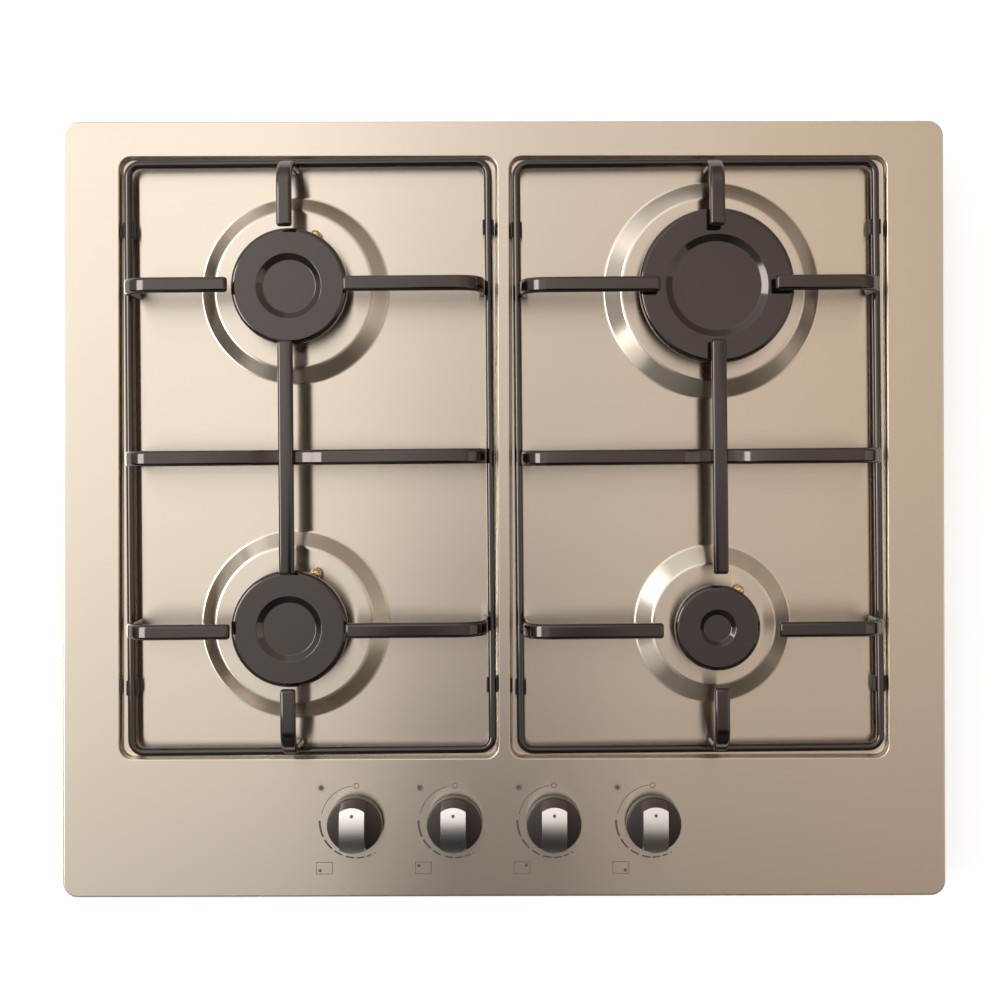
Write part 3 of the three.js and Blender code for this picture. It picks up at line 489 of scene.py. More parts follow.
def finish(name, colour, roughness, surface, fineness, spread, bump, metallic=0, clouding=None, **sockets):
    """A material with one colour, varied by clouds and by its surface, which is brushing or grain.

    Spread is how much the surface shades the colour, bump how strongly it shows as relief.
    """
    material, nodes, links = nodes_of(name)
    shader = nodes.new("ShaderNodeBsdfPrincipled")
    output = nodes.new("ShaderNodeOutputMaterial")
    links.new(shader.outputs[0], output.inputs["Surface"])
    shader.inputs["Metallic"].default_value = metallic
    for key, value in sockets.items():
        shader.inputs[key.replace("_", " ")].default_value = value
    patch = place_effect(nodes, clouds, Roughness=roughness, **(clouding or {}))
    links.new(patch.outputs["Roughness"], shader.inputs["Roughness"])
    fine = place_effect(nodes, surface, Fineness=fineness, Tone_Spread=spread)
    tone = number_math(nodes, links, "MULTIPLY", patch.outputs["Tone"], fine.outputs["Tone"])
    tint = nodes.new("ShaderNodeVectorMath")
    tint.operation = "SCALE"
    tint.inputs[0].default_value = colour
    links.new(tone, tint.inputs["Scale"])
    links.new(tint.outputs[0], shader.inputs["Base Color"])
    dent = nodes.new("ShaderNodeBump")
    dent.inputs["Strength"].default_value = bump
    dent.inputs["Distance"].default_value = BUMP_DEPTH
    links.new(fine.outputs["Height"], dent.inputs["Height"])
    links.new(dent.outputs[0], shader.inputs["Normal"])
    return material


# %% [markdown]
# Brushed steel blurs what it mirrors across its fine lines only, which the shader calls anisotropic. Which
# way the lines run is taken from the plate's own UV map, so that it stays the same on every slope.

# %% Mix the brushed steel
brushed_steel = finish(
    "brushed_steel", (0.80, 0.705, 0.59), 0.22, brushing, fineness=1400, spread=0.05, bump=0.04, metallic=1,
    clouding={"Patch_Scale": 7, "Roughness_Spread": 0.03, "Tone_Spread": 0.025},
    Anisotropic=1.0, Anisotropic_Rotation=0.25)
nodes, links = brushed_steel.node_tree.nodes, brushed_steel.node_tree.links
grain_way = nodes.new("ShaderNodeTangent")
grain_way.direction_type = "UV_MAP"
steel_shader = next(node for node in nodes if node.type == "BSDF_PRINCIPLED")
links.new(grain_way.outputs[0], steel_shader.inputs["Tangent"])

# %% [markdown]
# Enamel is nearly black, and what shows of it is mostly what it mirrors. The other finishes are on small
# parts or under the plate, and differ in colour, in gloss and in how coarse their grain is.

# %% Mix the other finishes
# What enamel and plastic mirror looks a little warmer than it is.
WARM = (1.0, 0.87, 0.83, 1.0)
enamel = finish(
    "black_enamel", (0.005, 0.004, 0.0035), 0.1, grain, fineness=260, spread=0.2, bump=0.03,
    clouding={"Patch_Scale": 30, "Roughness_Spread": 0.03}, IOR=1.8, Specular_Tint=WARM)
cap_enamel = finish(
    "cap_enamel", (0.005, 0.004, 0.0035), 0.08, grain, fineness=300, spread=0.2, bump=0.03,
    clouding={"Patch_Scale": 22, "Roughness_Spread": 0.03}, IOR=1.79, Specular_Tint=WARM)
knob_plastic = finish(
    "knob_plastic", (0.014, 0.0115, 0.011), 0.35, grain, fineness=2600, spread=0.2, bump=0.06,
    IOR=1.65, Specular_Tint=WARM)
grip_metal = finish(
    "grip_metal", (0.86, 0.84, 0.81), 0.2, brushing, fineness=2200, spread=0.08, bump=0.05, metallic=1)
cast_aluminium = finish(
    "cast_aluminium", (0.52, 0.50, 0.47), 0.5, grain, fineness=1800, spread=0.25, bump=0.35, metallic=1)
galvanised = finish(
    "galvanised_steel", (0.56, 0.57, 0.57), 0.42, grain, fineness=120, spread=0.35, bump=0.1, metallic=1,
    clouding={"Patch_Scale": 25, "Roughness_Spread": 0.25, "Tone_Spread": 0.2})
gas_tube = finish(
    "gas_tube", (0.62, 0.61, 0.59), 0.35, grain, fineness=800, spread=0.1, bump=0.1, metallic=1)
brass = finish(
    "brass", (0.72, 0.50, 0.22), 0.3, grain, fineness=1200, spread=0.15, bump=0.1, metallic=1)
spark_brass = finish(
    "spark_brass", (0.76, 0.52, 0.26), 0.22, grain, fineness=1500, spread=0.25, bump=0.08, metallic=1)
tap_alloy = finish(
    "tap_alloy", (0.60, 0.55, 0.44), 0.4, grain, fineness=1400, spread=0.15, bump=0.2, metallic=1)
stem_steel = finish(
    "stem_steel", (0.60, 0.60, 0.60), 0.3, grain, fineness=1600, spread=0.1, bump=0.1, metallic=1)
ceramic = finish(
    "spark_ceramic", (0.80, 0.76, 0.69), 0.3, grain, fineness=900, spread=0.08, bump=0.05, Coat_Weight=0.4)
module_plastic = finish(
    "module_plastic", (0.27, 0.27, 0.26), 0.5, grain, fineness=2500, spread=0.12, bump=0.2)
seal_foam = finish(
    "seal_foam", (0.045, 0.044, 0.042), 0.9, grain, fineness=2000, spread=0.6, bump=0.6)
foot_rubber = finish(
    "foot_rubber", (0.020, 0.018, 0.017), 0.6, grain, fineness=2200, spread=0.3, bump=0.2)
print_ink = finish(
    "print_ink", (0.105, 0.078, 0.085), 0.5, grain, fineness=3000, spread=0.2, bump=0.05)


def coat(piece, material):
    """Gives a piece one finish all over."""
    piece.data.materials.clear()
    piece.data.materials.append(material)


# %% [markdown]
# ## Plate
# The plate is pressed from one sheet of brushed steel: a rim that folds down at its edge, two shallow wells,
# and a low round plateau under each burner. It could be one grid that is pushed into shape, but then its
# edges would follow the grid. Here each step is walked down from a flat outline by insets with a depth,
# and the flat faces between the outlines are filled last.

# %% Sizes of the plate
PLATE_WIDTH, PLATE_DEPTH, PLATE_CORNER = 580, 510, 10
LIP, RIM_TOP, WELL_FLOOR, PLATEAU = 46.4, 51, 45, 52.5
WELL_X, WELL_Y = 128.25, 33.75
WELL_WIDTH, WELL_DEPTH, WELL_CORNER = 248.5, 395.5, 8
BURNER_X, REAR_Y, FRONT_Y = WELL_X + 9.25, WELL_Y + 110, WELL_Y - 110
SHEET = 1
KNOB_XS = (-97.2, -32.4, 32.4, 97.2)
KNOB_Y = -205
# Kinds of burner: radii of the plateau at its foot and at its top, of the cap, of the cap's dish at the edge
# and at its floor, of the crown and the neck, number of flame slots, and the spark plug's distance and angle.
LARGE = dict(base=71.3, top=60, cap=50, dish=33, floor=28.6, crown=42, neck=30, slots=18, spark=(46, 62))
MEDIUM = dict(base=61.3, top=51.8, cap=37.5, dish=21, floor=17, crown=32.5, neck=22, slots=14,
              spark=(37.7, 66))
SMALL = dict(base=51.5, top=40, cap=27.5, dish=11.8, floor=8.6, crown=22.5, neck=14.5, slots=10,
             spark=(27.6, 56))
BURNERS = {
    "rear_left": dict(MEDIUM, x=-BURNER_X, y=REAR_Y, knob=KNOB_XS[1]),
    "front_left": dict(MEDIUM, x=-BURNER_X, y=FRONT_Y, knob=KNOB_XS[0]),
    "rear_right": dict(LARGE, x=BURNER_X, y=REAR_Y, knob=KNOB_XS[2]),
    "front_right": dict(SMALL, x=BURNER_X, y=FRONT_Y, knob=KNOB_XS[3]),
}
for burner in BURNERS.values():
    reach, angle = burner["spark"][0], math.radians(burner["spark"][1])
    burner["spark_x"] = burner["x"] + reach * math.cos(angle)
    burner["spark_y"] = burner["y"] + reach * math.sin(angle)

# %% [markdown]
# An inset with a depth steps inwards and down in one move. A rounded edge is then a few small insets, whose
# steps come from an outline of how far in and how high each one goes.

# %% Press the rim and the wells
RIM_EDGE = 1.5
WELL_MARGIN, WALL_RUN, WELL_EDGE, WELL_FOOT = 2, 0.8, 0.8, 0.9


def sheet_outline(name, x, y, width, depth, corner, z):
    """A flat rectangle with rounded corners, as one face in edit mode."""
    flat = add(bpy.ops.mesh.primitive_plane_add, name, size=1, location=(0, 0, z * MM))
    edit_all()
    bpy.ops.transform.resize(value=(width * MM, depth * MM, 1), center_override=(0, 0, 0))
    bpy.ops.transform.translate(value=(x * MM, y * MM, 0))
    bpy.ops.mesh.bevel(affect="VERTICES", offset=corner * MM, segments=10)
    return flat


def press(outline):
    """Insets the selected face from point to point of an outline of (inwards, height)."""
    for here, there in zip(outline, outline[1:]):
        bpy.ops.mesh.inset(thickness=max((there[0] - here[0]), 0.0005) * MM,
                           depth=(there[1] - here[1]) * MM)
    bpy.ops.mesh.delete(type="ONLY_FACE")
    bpy.ops.object.mode_set(mode="OBJECT")


rim = sheet_outline("rim", 0, 0, PLATE_WIDTH, PLATE_DEPTH, PLATE_CORNER, LIP)
press(eased([(0, LIP), (0, RIM_TOP, RIM_EDGE), (3, RIM_TOP)]))
pressings = [rim]
wall_foot = WELL_MARGIN + WALL_RUN
for x in (-WELL_X, WELL_X):
    well = sheet_outline("well", x, WELL_Y, WELL_WIDTH + 2 * WELL_MARGIN, WELL_DEPTH + 2 * WELL_MARGIN,
                         WELL_CORNER + WELL_MARGIN, RIM_TOP)
    press(eased([(0, RIM_TOP), (WELL_MARGIN, RIM_TOP, WELL_EDGE), (wall_foot, WELL_FLOOR, WELL_FOOT),
                 (wall_foot + 3, WELL_FLOOR)]))
    pressings.append(well)
print(len(pressings), "pressed outlines")

# %% [markdown]
# Each plateau is a ring that is walked up a slope. Its foot and its brow are rounded, which gives the bright
# lines along them. The holes for the burner's neck, the spark plug and the knob's stem are plain circles.

# %% Raise the plateaus and mark the holes
PLATEAU_FOOT, PLATEAU_BROW, PLATEAU_COLLAR = 3, 4, 4
NECK_GAP, SPARK_HOLE, STEM_HOLE = 0.3, 3.4, 5


def open_ring(name, x, y, outline, sides=128):
    """A ring of faces along an outline, open at both ends."""
    ring = add(bpy.ops.mesh.primitive_circle_add, name, vertices=sides, radius=outline[0][0] * MM,
               location=(x * MM, y * MM, outline[0][1] * MM))
    edit_all()
    walk(outline, (x * MM, y * MM, 0))
    bpy.ops.object.mode_set(mode="OBJECT")
    return ring


for b in BURNERS.values():
    pressings.append(open_ring("plateau", b["x"], b["y"], eased([
        (b["base"] + PLATEAU_COLLAR, WELL_FLOOR), (b["base"], WELL_FLOOR, PLATEAU_FOOT),
        (b["top"], PLATEAU, PLATEAU_BROW), (b["top"] - PLATEAU_COLLAR, PLATEAU)], steps=7)))
    hole = b["neck"] + NECK_GAP
    pressings.append(open_ring("neck_hole", b["x"], b["y"], [(hole + 1, PLATEAU), (hole, PLATEAU)], sides=96))
    pressings.append(open_ring("spark_hole", b["spark_x"], b["spark_y"],
                               [(SPARK_HOLE + 0.8, PLATEAU), (SPARK_HOLE, PLATEAU)], sides=24))
for x in KNOB_XS:
    pressings.append(open_ring("stem_hole", x, KNOB_Y, [(STEM_HOLE + 1, RIM_TOP), (STEM_HOLE, RIM_TOP)],
                               sides=32))
plate = welded("pressed_plate", *pressings)

# %% [markdown]
# What is still open is flat: the rim's face, the two floors and the tops of the plateaus. Each is filled
# between the edges round it. A UV map of plain places then tells the steel which way its lines run.

# %% Fill the flat faces and give the sheet its thickness
def fill_flat(piece, test):
    """Fills the flat area between the open rings whose edges pass test."""
    count = select(piece, lambda middle, edge: edge.is_boundary and test(middle), "edges")
    bpy.ops.mesh.fill(use_beauty=True)
    return count


bpy.ops.object.mode_set(mode="EDIT")
print(fill_flat(plate, lambda middle: abs(middle.z - RIM_TOP) < 0.01 and not any(
    (middle.xy - Vector((x, KNOB_Y))).length < STEM_HOLE + 0.5 for x in KNOB_XS)),
      "edges round the rim's face")
for side_sign in (-1, 1):
    fill_flat(plate, lambda middle: abs(middle.z - WELL_FLOOR) < 0.01 and middle.x * side_sign > 0)
for b in BURNERS.values():
    spark = Vector((b["spark_x"], b["spark_y"]))
    middle_of = Vector((b["x"], b["y"]))
    fill_flat(plate, lambda middle: abs(middle.z - PLATEAU) < 0.01
              and b["neck"] + NECK_GAP + 0.5 < (middle.xy - middle_of).length < b["top"]
              and (middle.xy - spark).length > SPARK_HOLE + 0.4)
bpy.ops.object.mode_set(mode="OBJECT")
smooth(plate)
modifier(plate, "SOLIDIFY", thickness=SHEET * MM, offset=-1, use_even_offset=True)
only(plate)
bpy.ops.object.shade_smooth_by_angle(angle=math.radians(32))
sheet_map = plate.data.uv_layers.new(name="grain_way")
for loop in plate.data.loops:
    sheet_map.data[loop.index].uv = plate.data.vertices[loop.vertex_index].co.xy
coat(plate, brushed_steel)
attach(plate, "root")
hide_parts("top_plate")
print("plate:", len(plate.data.polygons), "faces")

# %% [markdown]
# ## Burner caps
# A cap is a thick enamelled disc with a shallow dish in its top. Two rings of light mark the dish: one on its
# rounded edge and one at its floor. A ring below finds the crown, so that the cap can't slide off.

# %% Turn the caps
CAP_UNDER, CAP_TOP, CAP_DISH = 66.3, 73, 2.2
# The ring below the cap: its bottom, the hollow inside it, its wall and its play in the crown.
RING_BOTTOM, RING_HOLLOW, RING_WALL, RING_PLAY = 63.5, 0.8, 1.5, 1.2
CROWN_WALL = 4
for name, b in BURNERS.items():
    ring_outer = b["crown"] - CROWN_WALL - RING_PLAY
    ring_inner = ring_outer - RING_WALL
    cap = turned(f"cap_{name}", b["x"], b["y"], eased([
        (ring_inner, RING_BOTTOM + RING_HOLLOW), (ring_inner, RING_BOTTOM), (ring_outer, RING_BOTTOM),
        (ring_outer, CAP_UNDER), (b["cap"], CAP_UNDER, 1.2), (b["cap"], CAP_TOP, 2.7),
        (b["dish"], CAP_TOP, 1.1), (b["floor"], CAP_TOP - CAP_DISH, 1.3),
        (b["floor"] - 2, CAP_TOP - CAP_DISH)], hold=0.3), sides=128)
    coat(cap, cap_enamel)
    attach(cap, f"burner_cap_{name}")
    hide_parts(f"burner_cap_{name}")

# %% [markdown]
# ## Flame crowns
# Under each cap a cast crown stands on the burner's neck. Slots in its wall let the flames out. The wall is
# raised in a ring of teeth: every few faces of the ring are left low, and the others are extruded up.

# %% Turn the crowns and raise their teeth
CROWN_BOTTOM, CROWN_TOP, CROWN_DECK, CROWN_EDGE = 55.3, 66, 3, 0.6
SKIRT_BOTTOM, SKIRT_WALL, SKIRT_INSET = 50, 1.8, 3.3
slot_floor = CROWN_TOP - 4.5
FACES_PER_SLOT = 6
for name, b in BURNERS.items():
    skirt = b["neck"] - SKIRT_INSET
    bore = skirt - SKIRT_WALL
    sides = b["slots"] * FACES_PER_SLOT
    inner, deck = b["crown"] - CROWN_WALL, CROWN_BOTTOM + CROWN_DECK
    crown = turned(f"crown_{name}", b["x"], b["y"], [
        (bore, SKIRT_BOTTOM), (skirt, SKIRT_BOTTOM), (skirt, CROWN_BOTTOM),
        (b["crown"] - CROWN_EDGE, CROWN_BOTTOM), (b["crown"], CROWN_BOTTOM + CROWN_EDGE),
        (b["crown"], slot_floor), (inner, slot_floor), (inner, deck), (bore, deck)], sides=sides, lids=False)
    only(crown)
    bpy.ops.object.mode_set(mode="EDIT")

    def tooth(middle, face):
        """Whether a face of the wall's top belongs to a tooth. The last face of each group is a slot."""
        angle = math.degrees(math.atan2(middle.y - b["y"], middle.x - b["x"])) % 360
        index = int(angle / (360 / sides))
        return abs(middle.z - slot_floor) < 0.01 and index % FACES_PER_SLOT != FACES_PER_SLOT - 1

    select(crown, tooth)
    bpy.ops.mesh.extrude_region_move(
        TRANSFORM_OT_translate={"value": (0, 0, (CROWN_TOP - slot_floor) * MM)})
    bpy.ops.object.mode_set(mode="OBJECT")
    smooth(crown)
    coat(crown, cast_aluminium)
    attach(crown, f"flame_crown_{name}")
    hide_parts(f"flame_crown_{name}")

# %% [markdown]
# ## Spark plugs
# Beside each cap a brass tip stands on a white ceramic rod that comes up through the plate. The tip is a
# small dome with a rounded shoulder.

# %% Turn the spark plugs
ROD_RADIUS, ROD_BOTTOM, ROD_TOP = 2.6, 32.5, 57.9
TIP_RADIUS, TIP_BOTTOM, TIP_TOP = 3.3, 58, 63
for name, b in BURNERS.items():
    rod = turned(f"spark_rod_{name}", b["spark_x"], b["spark_y"],
                 [(ROD_RADIUS, ROD_BOTTOM), (ROD_RADIUS, ROD_TOP)], sides=24)
    tip = turned(f"spark_tip_{name}", b["spark_x"], b["spark_y"], eased([
        (2.9, TIP_BOTTOM), (TIP_RADIUS, TIP_BOTTOM, 0.3), (TIP_RADIUS, 60.6, 0.2),
        (TIP_RADIUS, TIP_TOP, 2.2), (0.5, TIP_TOP), (0.3, TIP_TOP - 0.4)], steps=6, hold=0.1), sides=40)
    coat(rod, ceramic)
    coat(tip, spark_brass)
    for piece in (rod, tip):
        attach(piece, "root")
        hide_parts(f"spark_plug_{name}")

# %% [markdown]
# ## Pan supports
# A support is a wire frame with flat bars on it: four fingers to each burner, a bar across the middle and a
# long one between the burners. Each bar is drawn out of a small flat face: extruded up, bent by the spin
# tool, and extruded on. A bevel rounds its long edges, where the enamel shows thin lines of light.

# %% Helpers for bars and wires
BAR_TOP, BAR_WIDTH, BAR_THICKNESS, BAR_EDGE, BAR_BEND = 85, 9.8, 5.2, 2.0, 14.4
BAR_Z = BAR_TOP - BAR_THICKNESS / 2
WIRE_RADIUS, WIRE_Z, WIRE_CORNER = 2.75, 53, 8
WELD = 0.9
LEG_Z = WIRE_Z - 1 - WIRE_RADIUS
LEG_INSET = WIRE_RADIUS + BAR_THICKNESS / 2 - WELD
# A cross bar dips by DIP_DEPTH under the long bar. On each support, how far from there the dip's floor and
# its slope reach, and the parts of the depth that four equal steps take, so that the slope ends softly.
DIP_DEPTH = BAR_THICKNESS - 0.3
DIP_REACH = {"left": (9, 24), "right": (11.5, 23.5)}
DIP_STEPS = (0.2, 0.3, 0.3, 0.2)


def forward(x=0.0, y=0.0, z=0.0):
    """Extrudes what is selected by a distance in millimetres."""
    bpy.ops.mesh.extrude_region_move(TRANSFORM_OT_translate={"value": (x * MM, y * MM, z * MM)})


def bent(centre, axis, angle, steps=8):
    """Turns what is selected about a centre in millimetres, leaving a bend behind it."""
    # The spin tool counts its angle clockwise about the axis, hence the sign.
    bpy.ops.mesh.spin(steps=steps, angle=-math.radians(angle), center=[v * MM for v in centre], axis=axis)


def finger(name, x, y, dx, dy, length, crossing=None, dip=None):
    """A bar that rises at (x, y), bends and runs by length towards (dx, dy).

    With a crossing it runs towards +X, dips there below the long bar and ends in a second leg.
    """
    bar = add(bpy.ops.mesh.primitive_plane_add, name, size=1, location=(x * MM, y * MM, LEG_Z * MM))
    edit_all()
    size = (BAR_THICKNESS, BAR_WIDTH) if dx else (BAR_WIDTH, BAR_THICKNESS)
    bpy.ops.transform.resize(value=(size[0] * MM, size[1] * MM, 1),
                             center_override=(x * MM, y * MM, LEG_Z * MM))
    forward(z=BAR_Z - BAR_BEND - LEG_Z)
    bent((x + dx * BAR_BEND, y + dy * BAR_BEND, BAR_Z - BAR_BEND), (-dy, dx, 0), 90)
    if crossing is None:
        forward(x=dx * (length - BAR_BEND), y=dy * (length - BAR_BEND))
    else:
        far_bend = x + length - BAR_BEND
        floor, slope = dip
        forward(x=crossing - slope - x - BAR_BEND)
        step = (slope - floor) / len(DIP_STEPS)
        for part in DIP_STEPS:
            forward(x=step, z=-DIP_DEPTH * part)
        forward(x=2 * floor)
        for part in DIP_STEPS:
            forward(x=step, z=DIP_DEPTH * part)
        forward(x=far_bend - crossing - slope)
        bent((far_bend, y, BAR_Z - BAR_BEND), (0, 1, 0), 90)
        forward(z=LEG_Z - (BAR_Z - BAR_BEND))
    bpy.ops.object.mode_set(mode="OBJECT")
    smooth(bar)
    modifier(bar, "BEVEL", width=BAR_EDGE * MM, segments=5, limit_method="ANGLE",
             angle_limit=math.radians(50))
    return bar


def straight(name, x, y, length):
    """A bar that runs by length towards -Y, with both ends free."""
    bar = add(bpy.ops.mesh.primitive_cube_add, name, size=1,
              location=(x * MM, (y - length / 2) * MM, BAR_Z * MM))
    edit_all()
    bpy.ops.transform.resize(value=(BAR_WIDTH * MM, length * MM, BAR_THICKNESS * MM),
                             center_override=(x * MM, (y - length / 2) * MM, BAR_Z * MM))
    bpy.ops.object.mode_set(mode="OBJECT")
    modifier(bar, "BEVEL", width=BAR_EDGE * MM, segments=5)
    return bar


def wire_frame(name, left, right, front, rear):
    """A round wire bent into a closed rectangle with rounded corners."""
    west, east = left + WIRE_CORNER, right - WIRE_CORNER
    south, north = front + WIRE_CORNER, rear - WIRE_CORNER
    wire = add(bpy.ops.mesh.primitive_circle_add, name, vertices=20, radius=WIRE_RADIUS * MM,
               rotation=(math.radians(90), 0, 0), location=(left * MM, south * MM, WIRE_Z * MM))
    edit_all()
    for across, up, corner in ((0, north - south, (west, north)), (east - west, 0, (east, north)),
                               (0, south - north, (east, south)), (west - east, 0, (west, south))):
        forward(across, up)
        bent((*corner, WIRE_Z), (0, 0, -1), 90)
    bpy.ops.object.mode_set(mode="OBJECT")
    return smooth(wire)


# %% [markdown]
# The bars are united with the wire by a boolean, so that no wall is left inside, as in a welded piece. Each
# support then lies turned by a hair in its well, as supports do that are put back by hand.

# %% Build both supports
# How far the fingers' tips and the long bar's ends stay from the middle of a burner.
FINGER_GAP, LONG_BAR_GAP = 36.6, 35.5
# Each frame's wire: left, right, front and rear.
FRAMES = {"left": (-244.6, -8.9, -158.2, 226.5), "right": (9.7, 245.2, -157.2, 226.6)}
SUPPORT_TURN = 0.4


def turn_in_well(piece, side):
    """Turns a piece about the middle of its well by the supports' small angle."""
    only(piece)
    bpy.ops.transform.rotate(value=-math.radians(SUPPORT_TURN), orient_axis="Z",
                             center_override=(side * WELL_X * MM, WELL_Y * MM, 0))
    bpy.ops.object.transform_apply(location=True, rotation=True, scale=True)


for side, side_name in ((-1, "left"), (1, "right")):
    left, right, front, rear = FRAMES[side_name]
    x = side * BURNER_X
    support = wire_frame(f"support_{side_name}", left, right, front, rear)
    leg_left, leg_right = left + LEG_INSET, right - LEG_INSET
    bars = []
    for y in (REAR_Y, FRONT_Y):
        bars.append(finger("bar", leg_left, y, 1, 0, x - FINGER_GAP - leg_left))
        bars.append(finger("bar", leg_right, y, -1, 0, leg_right - x - FINGER_GAP))
    bars.append(finger("bar", x, rear - LEG_INSET, 0, -1, rear - LEG_INSET - REAR_Y - FINGER_GAP))
    bars.append(finger("bar", x, front + LEG_INSET, 0, 1, FRONT_Y - FINGER_GAP - front - LEG_INSET))
    bars.append(finger("bar", leg_left, WELL_Y, 1, 0, leg_right - leg_left, x, DIP_REACH[side_name]))
    bars.append(straight("bar", x, REAR_Y - LONG_BAR_GAP, REAR_Y - FRONT_Y - 2 * LONG_BAR_GAP))
    for bar in bars:
        modifier(support, "BOOLEAN", object=bar, operation="UNION", solver="EXACT")
        bpy.data.objects.remove(bar)
    smooth(support, angle=40)
    turn_in_well(support, side)
    coat(support, enamel)
    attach(support, f"pan_support_{side_name}")
    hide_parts(f"pan_support_{side_name}")
    print("   modelled", [round(min(v.co[i] for v in support.data.vertices) / MM, 2) for i in range(3)],
          [round(max(v.co[i] for v in support.data.vertices) / MM, 2) for i in range(3)])

# %% [markdown]
# ## Rubber feet
# Eight rubber feet stop the supports from scratching the steel. Each grips the wire and stands on the
# well's floor. It narrows towards the floor, to clear the leaning wall. One is modelled, with a boolean cut
# for the wire, and the others are copies, each with its own mesh.

# %% Model a foot and copy it
FOOT_SPACING, FOOT_LENGTH = 300, 10
FOOT_BOTTOM, FOOT_SHOULDER, FOOT_TOP = 45.3, WIRE_Z - WIRE_RADIUS, WIRE_Z + 1.2
FOOT_WIDTH_LOW, FOOT_WIDTH_HIGH, FOOT_EDGE = 5.4, 7.3, 0.7
# The wire's groove is a little wider than the wire, and the mouth above it a little narrower.
GROOVE_PLAY, MOUTH_GRIP, MOUTH_HEIGHT = 0.2, 0.1, 8


def copied(piece, name, x=0.0, y=0.0, z=0.0):
    """A copy with its own mesh, moved by a distance in millimetres."""
    only(piece)
    bpy.ops.object.duplicate(linked=False)
    bpy.ops.transform.translate(value=(x * MM, y * MM, z * MM))
    bpy.ops.object.transform_apply(location=True, rotation=True, scale=True)
    copy = bpy.context.object
    copy.name = copy.data.name = name
    return copy


def rubber_foot(name):
    """A foot for a wire that runs along Y through the origin's column."""
    foot = add(bpy.ops.mesh.primitive_plane_add, name, size=1, location=(0, 0, FOOT_BOTTOM * MM))
    edit_all()
    bpy.ops.transform.resize(value=(FOOT_WIDTH_LOW * MM, FOOT_LENGTH * MM, 1),
                             center_override=(0, 0, FOOT_BOTTOM * MM))
    forward(z=FOOT_SHOULDER - FOOT_BOTTOM)
    bpy.ops.transform.resize(value=(FOOT_WIDTH_HIGH / FOOT_WIDTH_LOW, 1, 1), center_override=(0, 0, 0))
    forward(z=FOOT_TOP - FOOT_SHOULDER)
    bpy.ops.object.mode_set(mode="OBJECT")
    smooth(foot)
    modifier(foot, "BEVEL", width=FOOT_EDGE * MM, segments=3, limit_method="ANGLE",
             angle_limit=math.radians(50))
    groove = add(bpy.ops.mesh.primitive_cylinder_add, "groove", vertices=32,
                 radius=(WIRE_RADIUS + GROOVE_PLAY) * MM, depth=2 * FOOT_LENGTH * MM,
                 rotation=(math.radians(90), 0, 0), location=(0, 0, WIRE_Z * MM))
    centre = (0, 0, (WIRE_Z + MOUTH_HEIGHT / 2) * MM)
    mouth = add(bpy.ops.mesh.primitive_cube_add, "mouth", size=1, location=centre)
    edit_all()
    bpy.ops.transform.resize(value=(2 * (WIRE_RADIUS - MOUTH_GRIP) * MM, 2 * FOOT_LENGTH * MM,
                                    MOUTH_HEIGHT * MM), center_override=centre)
    bpy.ops.object.mode_set(mode="OBJECT")
    for tool in (groove, mouth):
        modifier(foot, "BOOLEAN", object=tool, operation="DIFFERENCE", solver="EXACT")
        bpy.data.objects.remove(tool)
    return smooth(foot)


pattern = rubber_foot("foot_pattern")
for side, side_name in ((-1, "left"), (1, "right")):
    places = [(wire, row) for row in (1, -1) for wire in FRAMES[side_name][:2]]
    for i, (wire, row) in enumerate(places, 1):
        foot = copied(pattern, f"foot_{side_name}_{i}", wire, WELL_Y + row * FOOT_SPACING / 2)
        turn_in_well(foot, side)
        coat(foot, foot_rubber)
        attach(foot, f"pan_support_{side_name}")
        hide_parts(f"rubber_foot_{side_name}_{i}")
bpy.data.objects.remove(pattern)

# %% [markdown]
# ## Knobs
# A knob is a round black base with an upright grip across it. The grip is a thin arched metal cover over a
# plastic core. Its outline is where a round bar and a flat slab meet, so a cone, for ends that lean in, is
# cut by two planes and then kept only inside a large barrel that lies across it, which gives the arch.

# %% Model a knob and its grip
KNOB_RADIUS, KNOB_BOTTOM, KNOB_SHOULDER, GRIP_TOP = 17.8, 54.5, 63, 76.2
GRIP_WIDTH, GRIP_WALL, ARCH_RADIUS = 16, 1.6, 62
GRIP_REACH, GRIP_LEAN = 17.4, 0.25


def grip_block(name, x, inset, bottom):
    """The grip's outline as a solid, smaller all round and on top by inset."""
    top = GRIP_TOP + 2
    low, high = (GRIP_REACH - GRIP_LEAN * (z - KNOB_SHOULDER) - inset for z in (bottom, top))
    block = add(bpy.ops.mesh.primitive_cone_add, name, vertices=96, radius1=low * MM, radius2=high * MM,
                depth=(top - bottom) * MM, location=(x * MM, KNOB_Y * MM, (top + bottom) / 2 * MM))
    bpy.ops.object.mode_set(mode="EDIT")
    for direction in (-1, 1):
        edge = x + direction * (GRIP_WIDTH / 2 - inset)
        bpy.ops.mesh.select_all(action="SELECT")
        bpy.ops.mesh.bisect(plane_co=(edge * MM, 0, 0), plane_no=(direction, 0, 0),
                            use_fill=True, clear_outer=True)
    bpy.ops.object.mode_set(mode="OBJECT")
    centre = (x * MM, KNOB_Y * MM, (GRIP_TOP - ARCH_RADIUS) * MM)
    barrel = add(bpy.ops.mesh.primitive_cylinder_add, "barrel", vertices=256,
                 radius=(ARCH_RADIUS - inset) * MM, depth=60 * MM,
                 rotation=(0, math.radians(90), 0), location=centre)
    modifier(block, "BOOLEAN", object=barrel, operation="INTERSECT", solver="EXACT")
    bpy.data.objects.remove(barrel)
    return smooth(block)


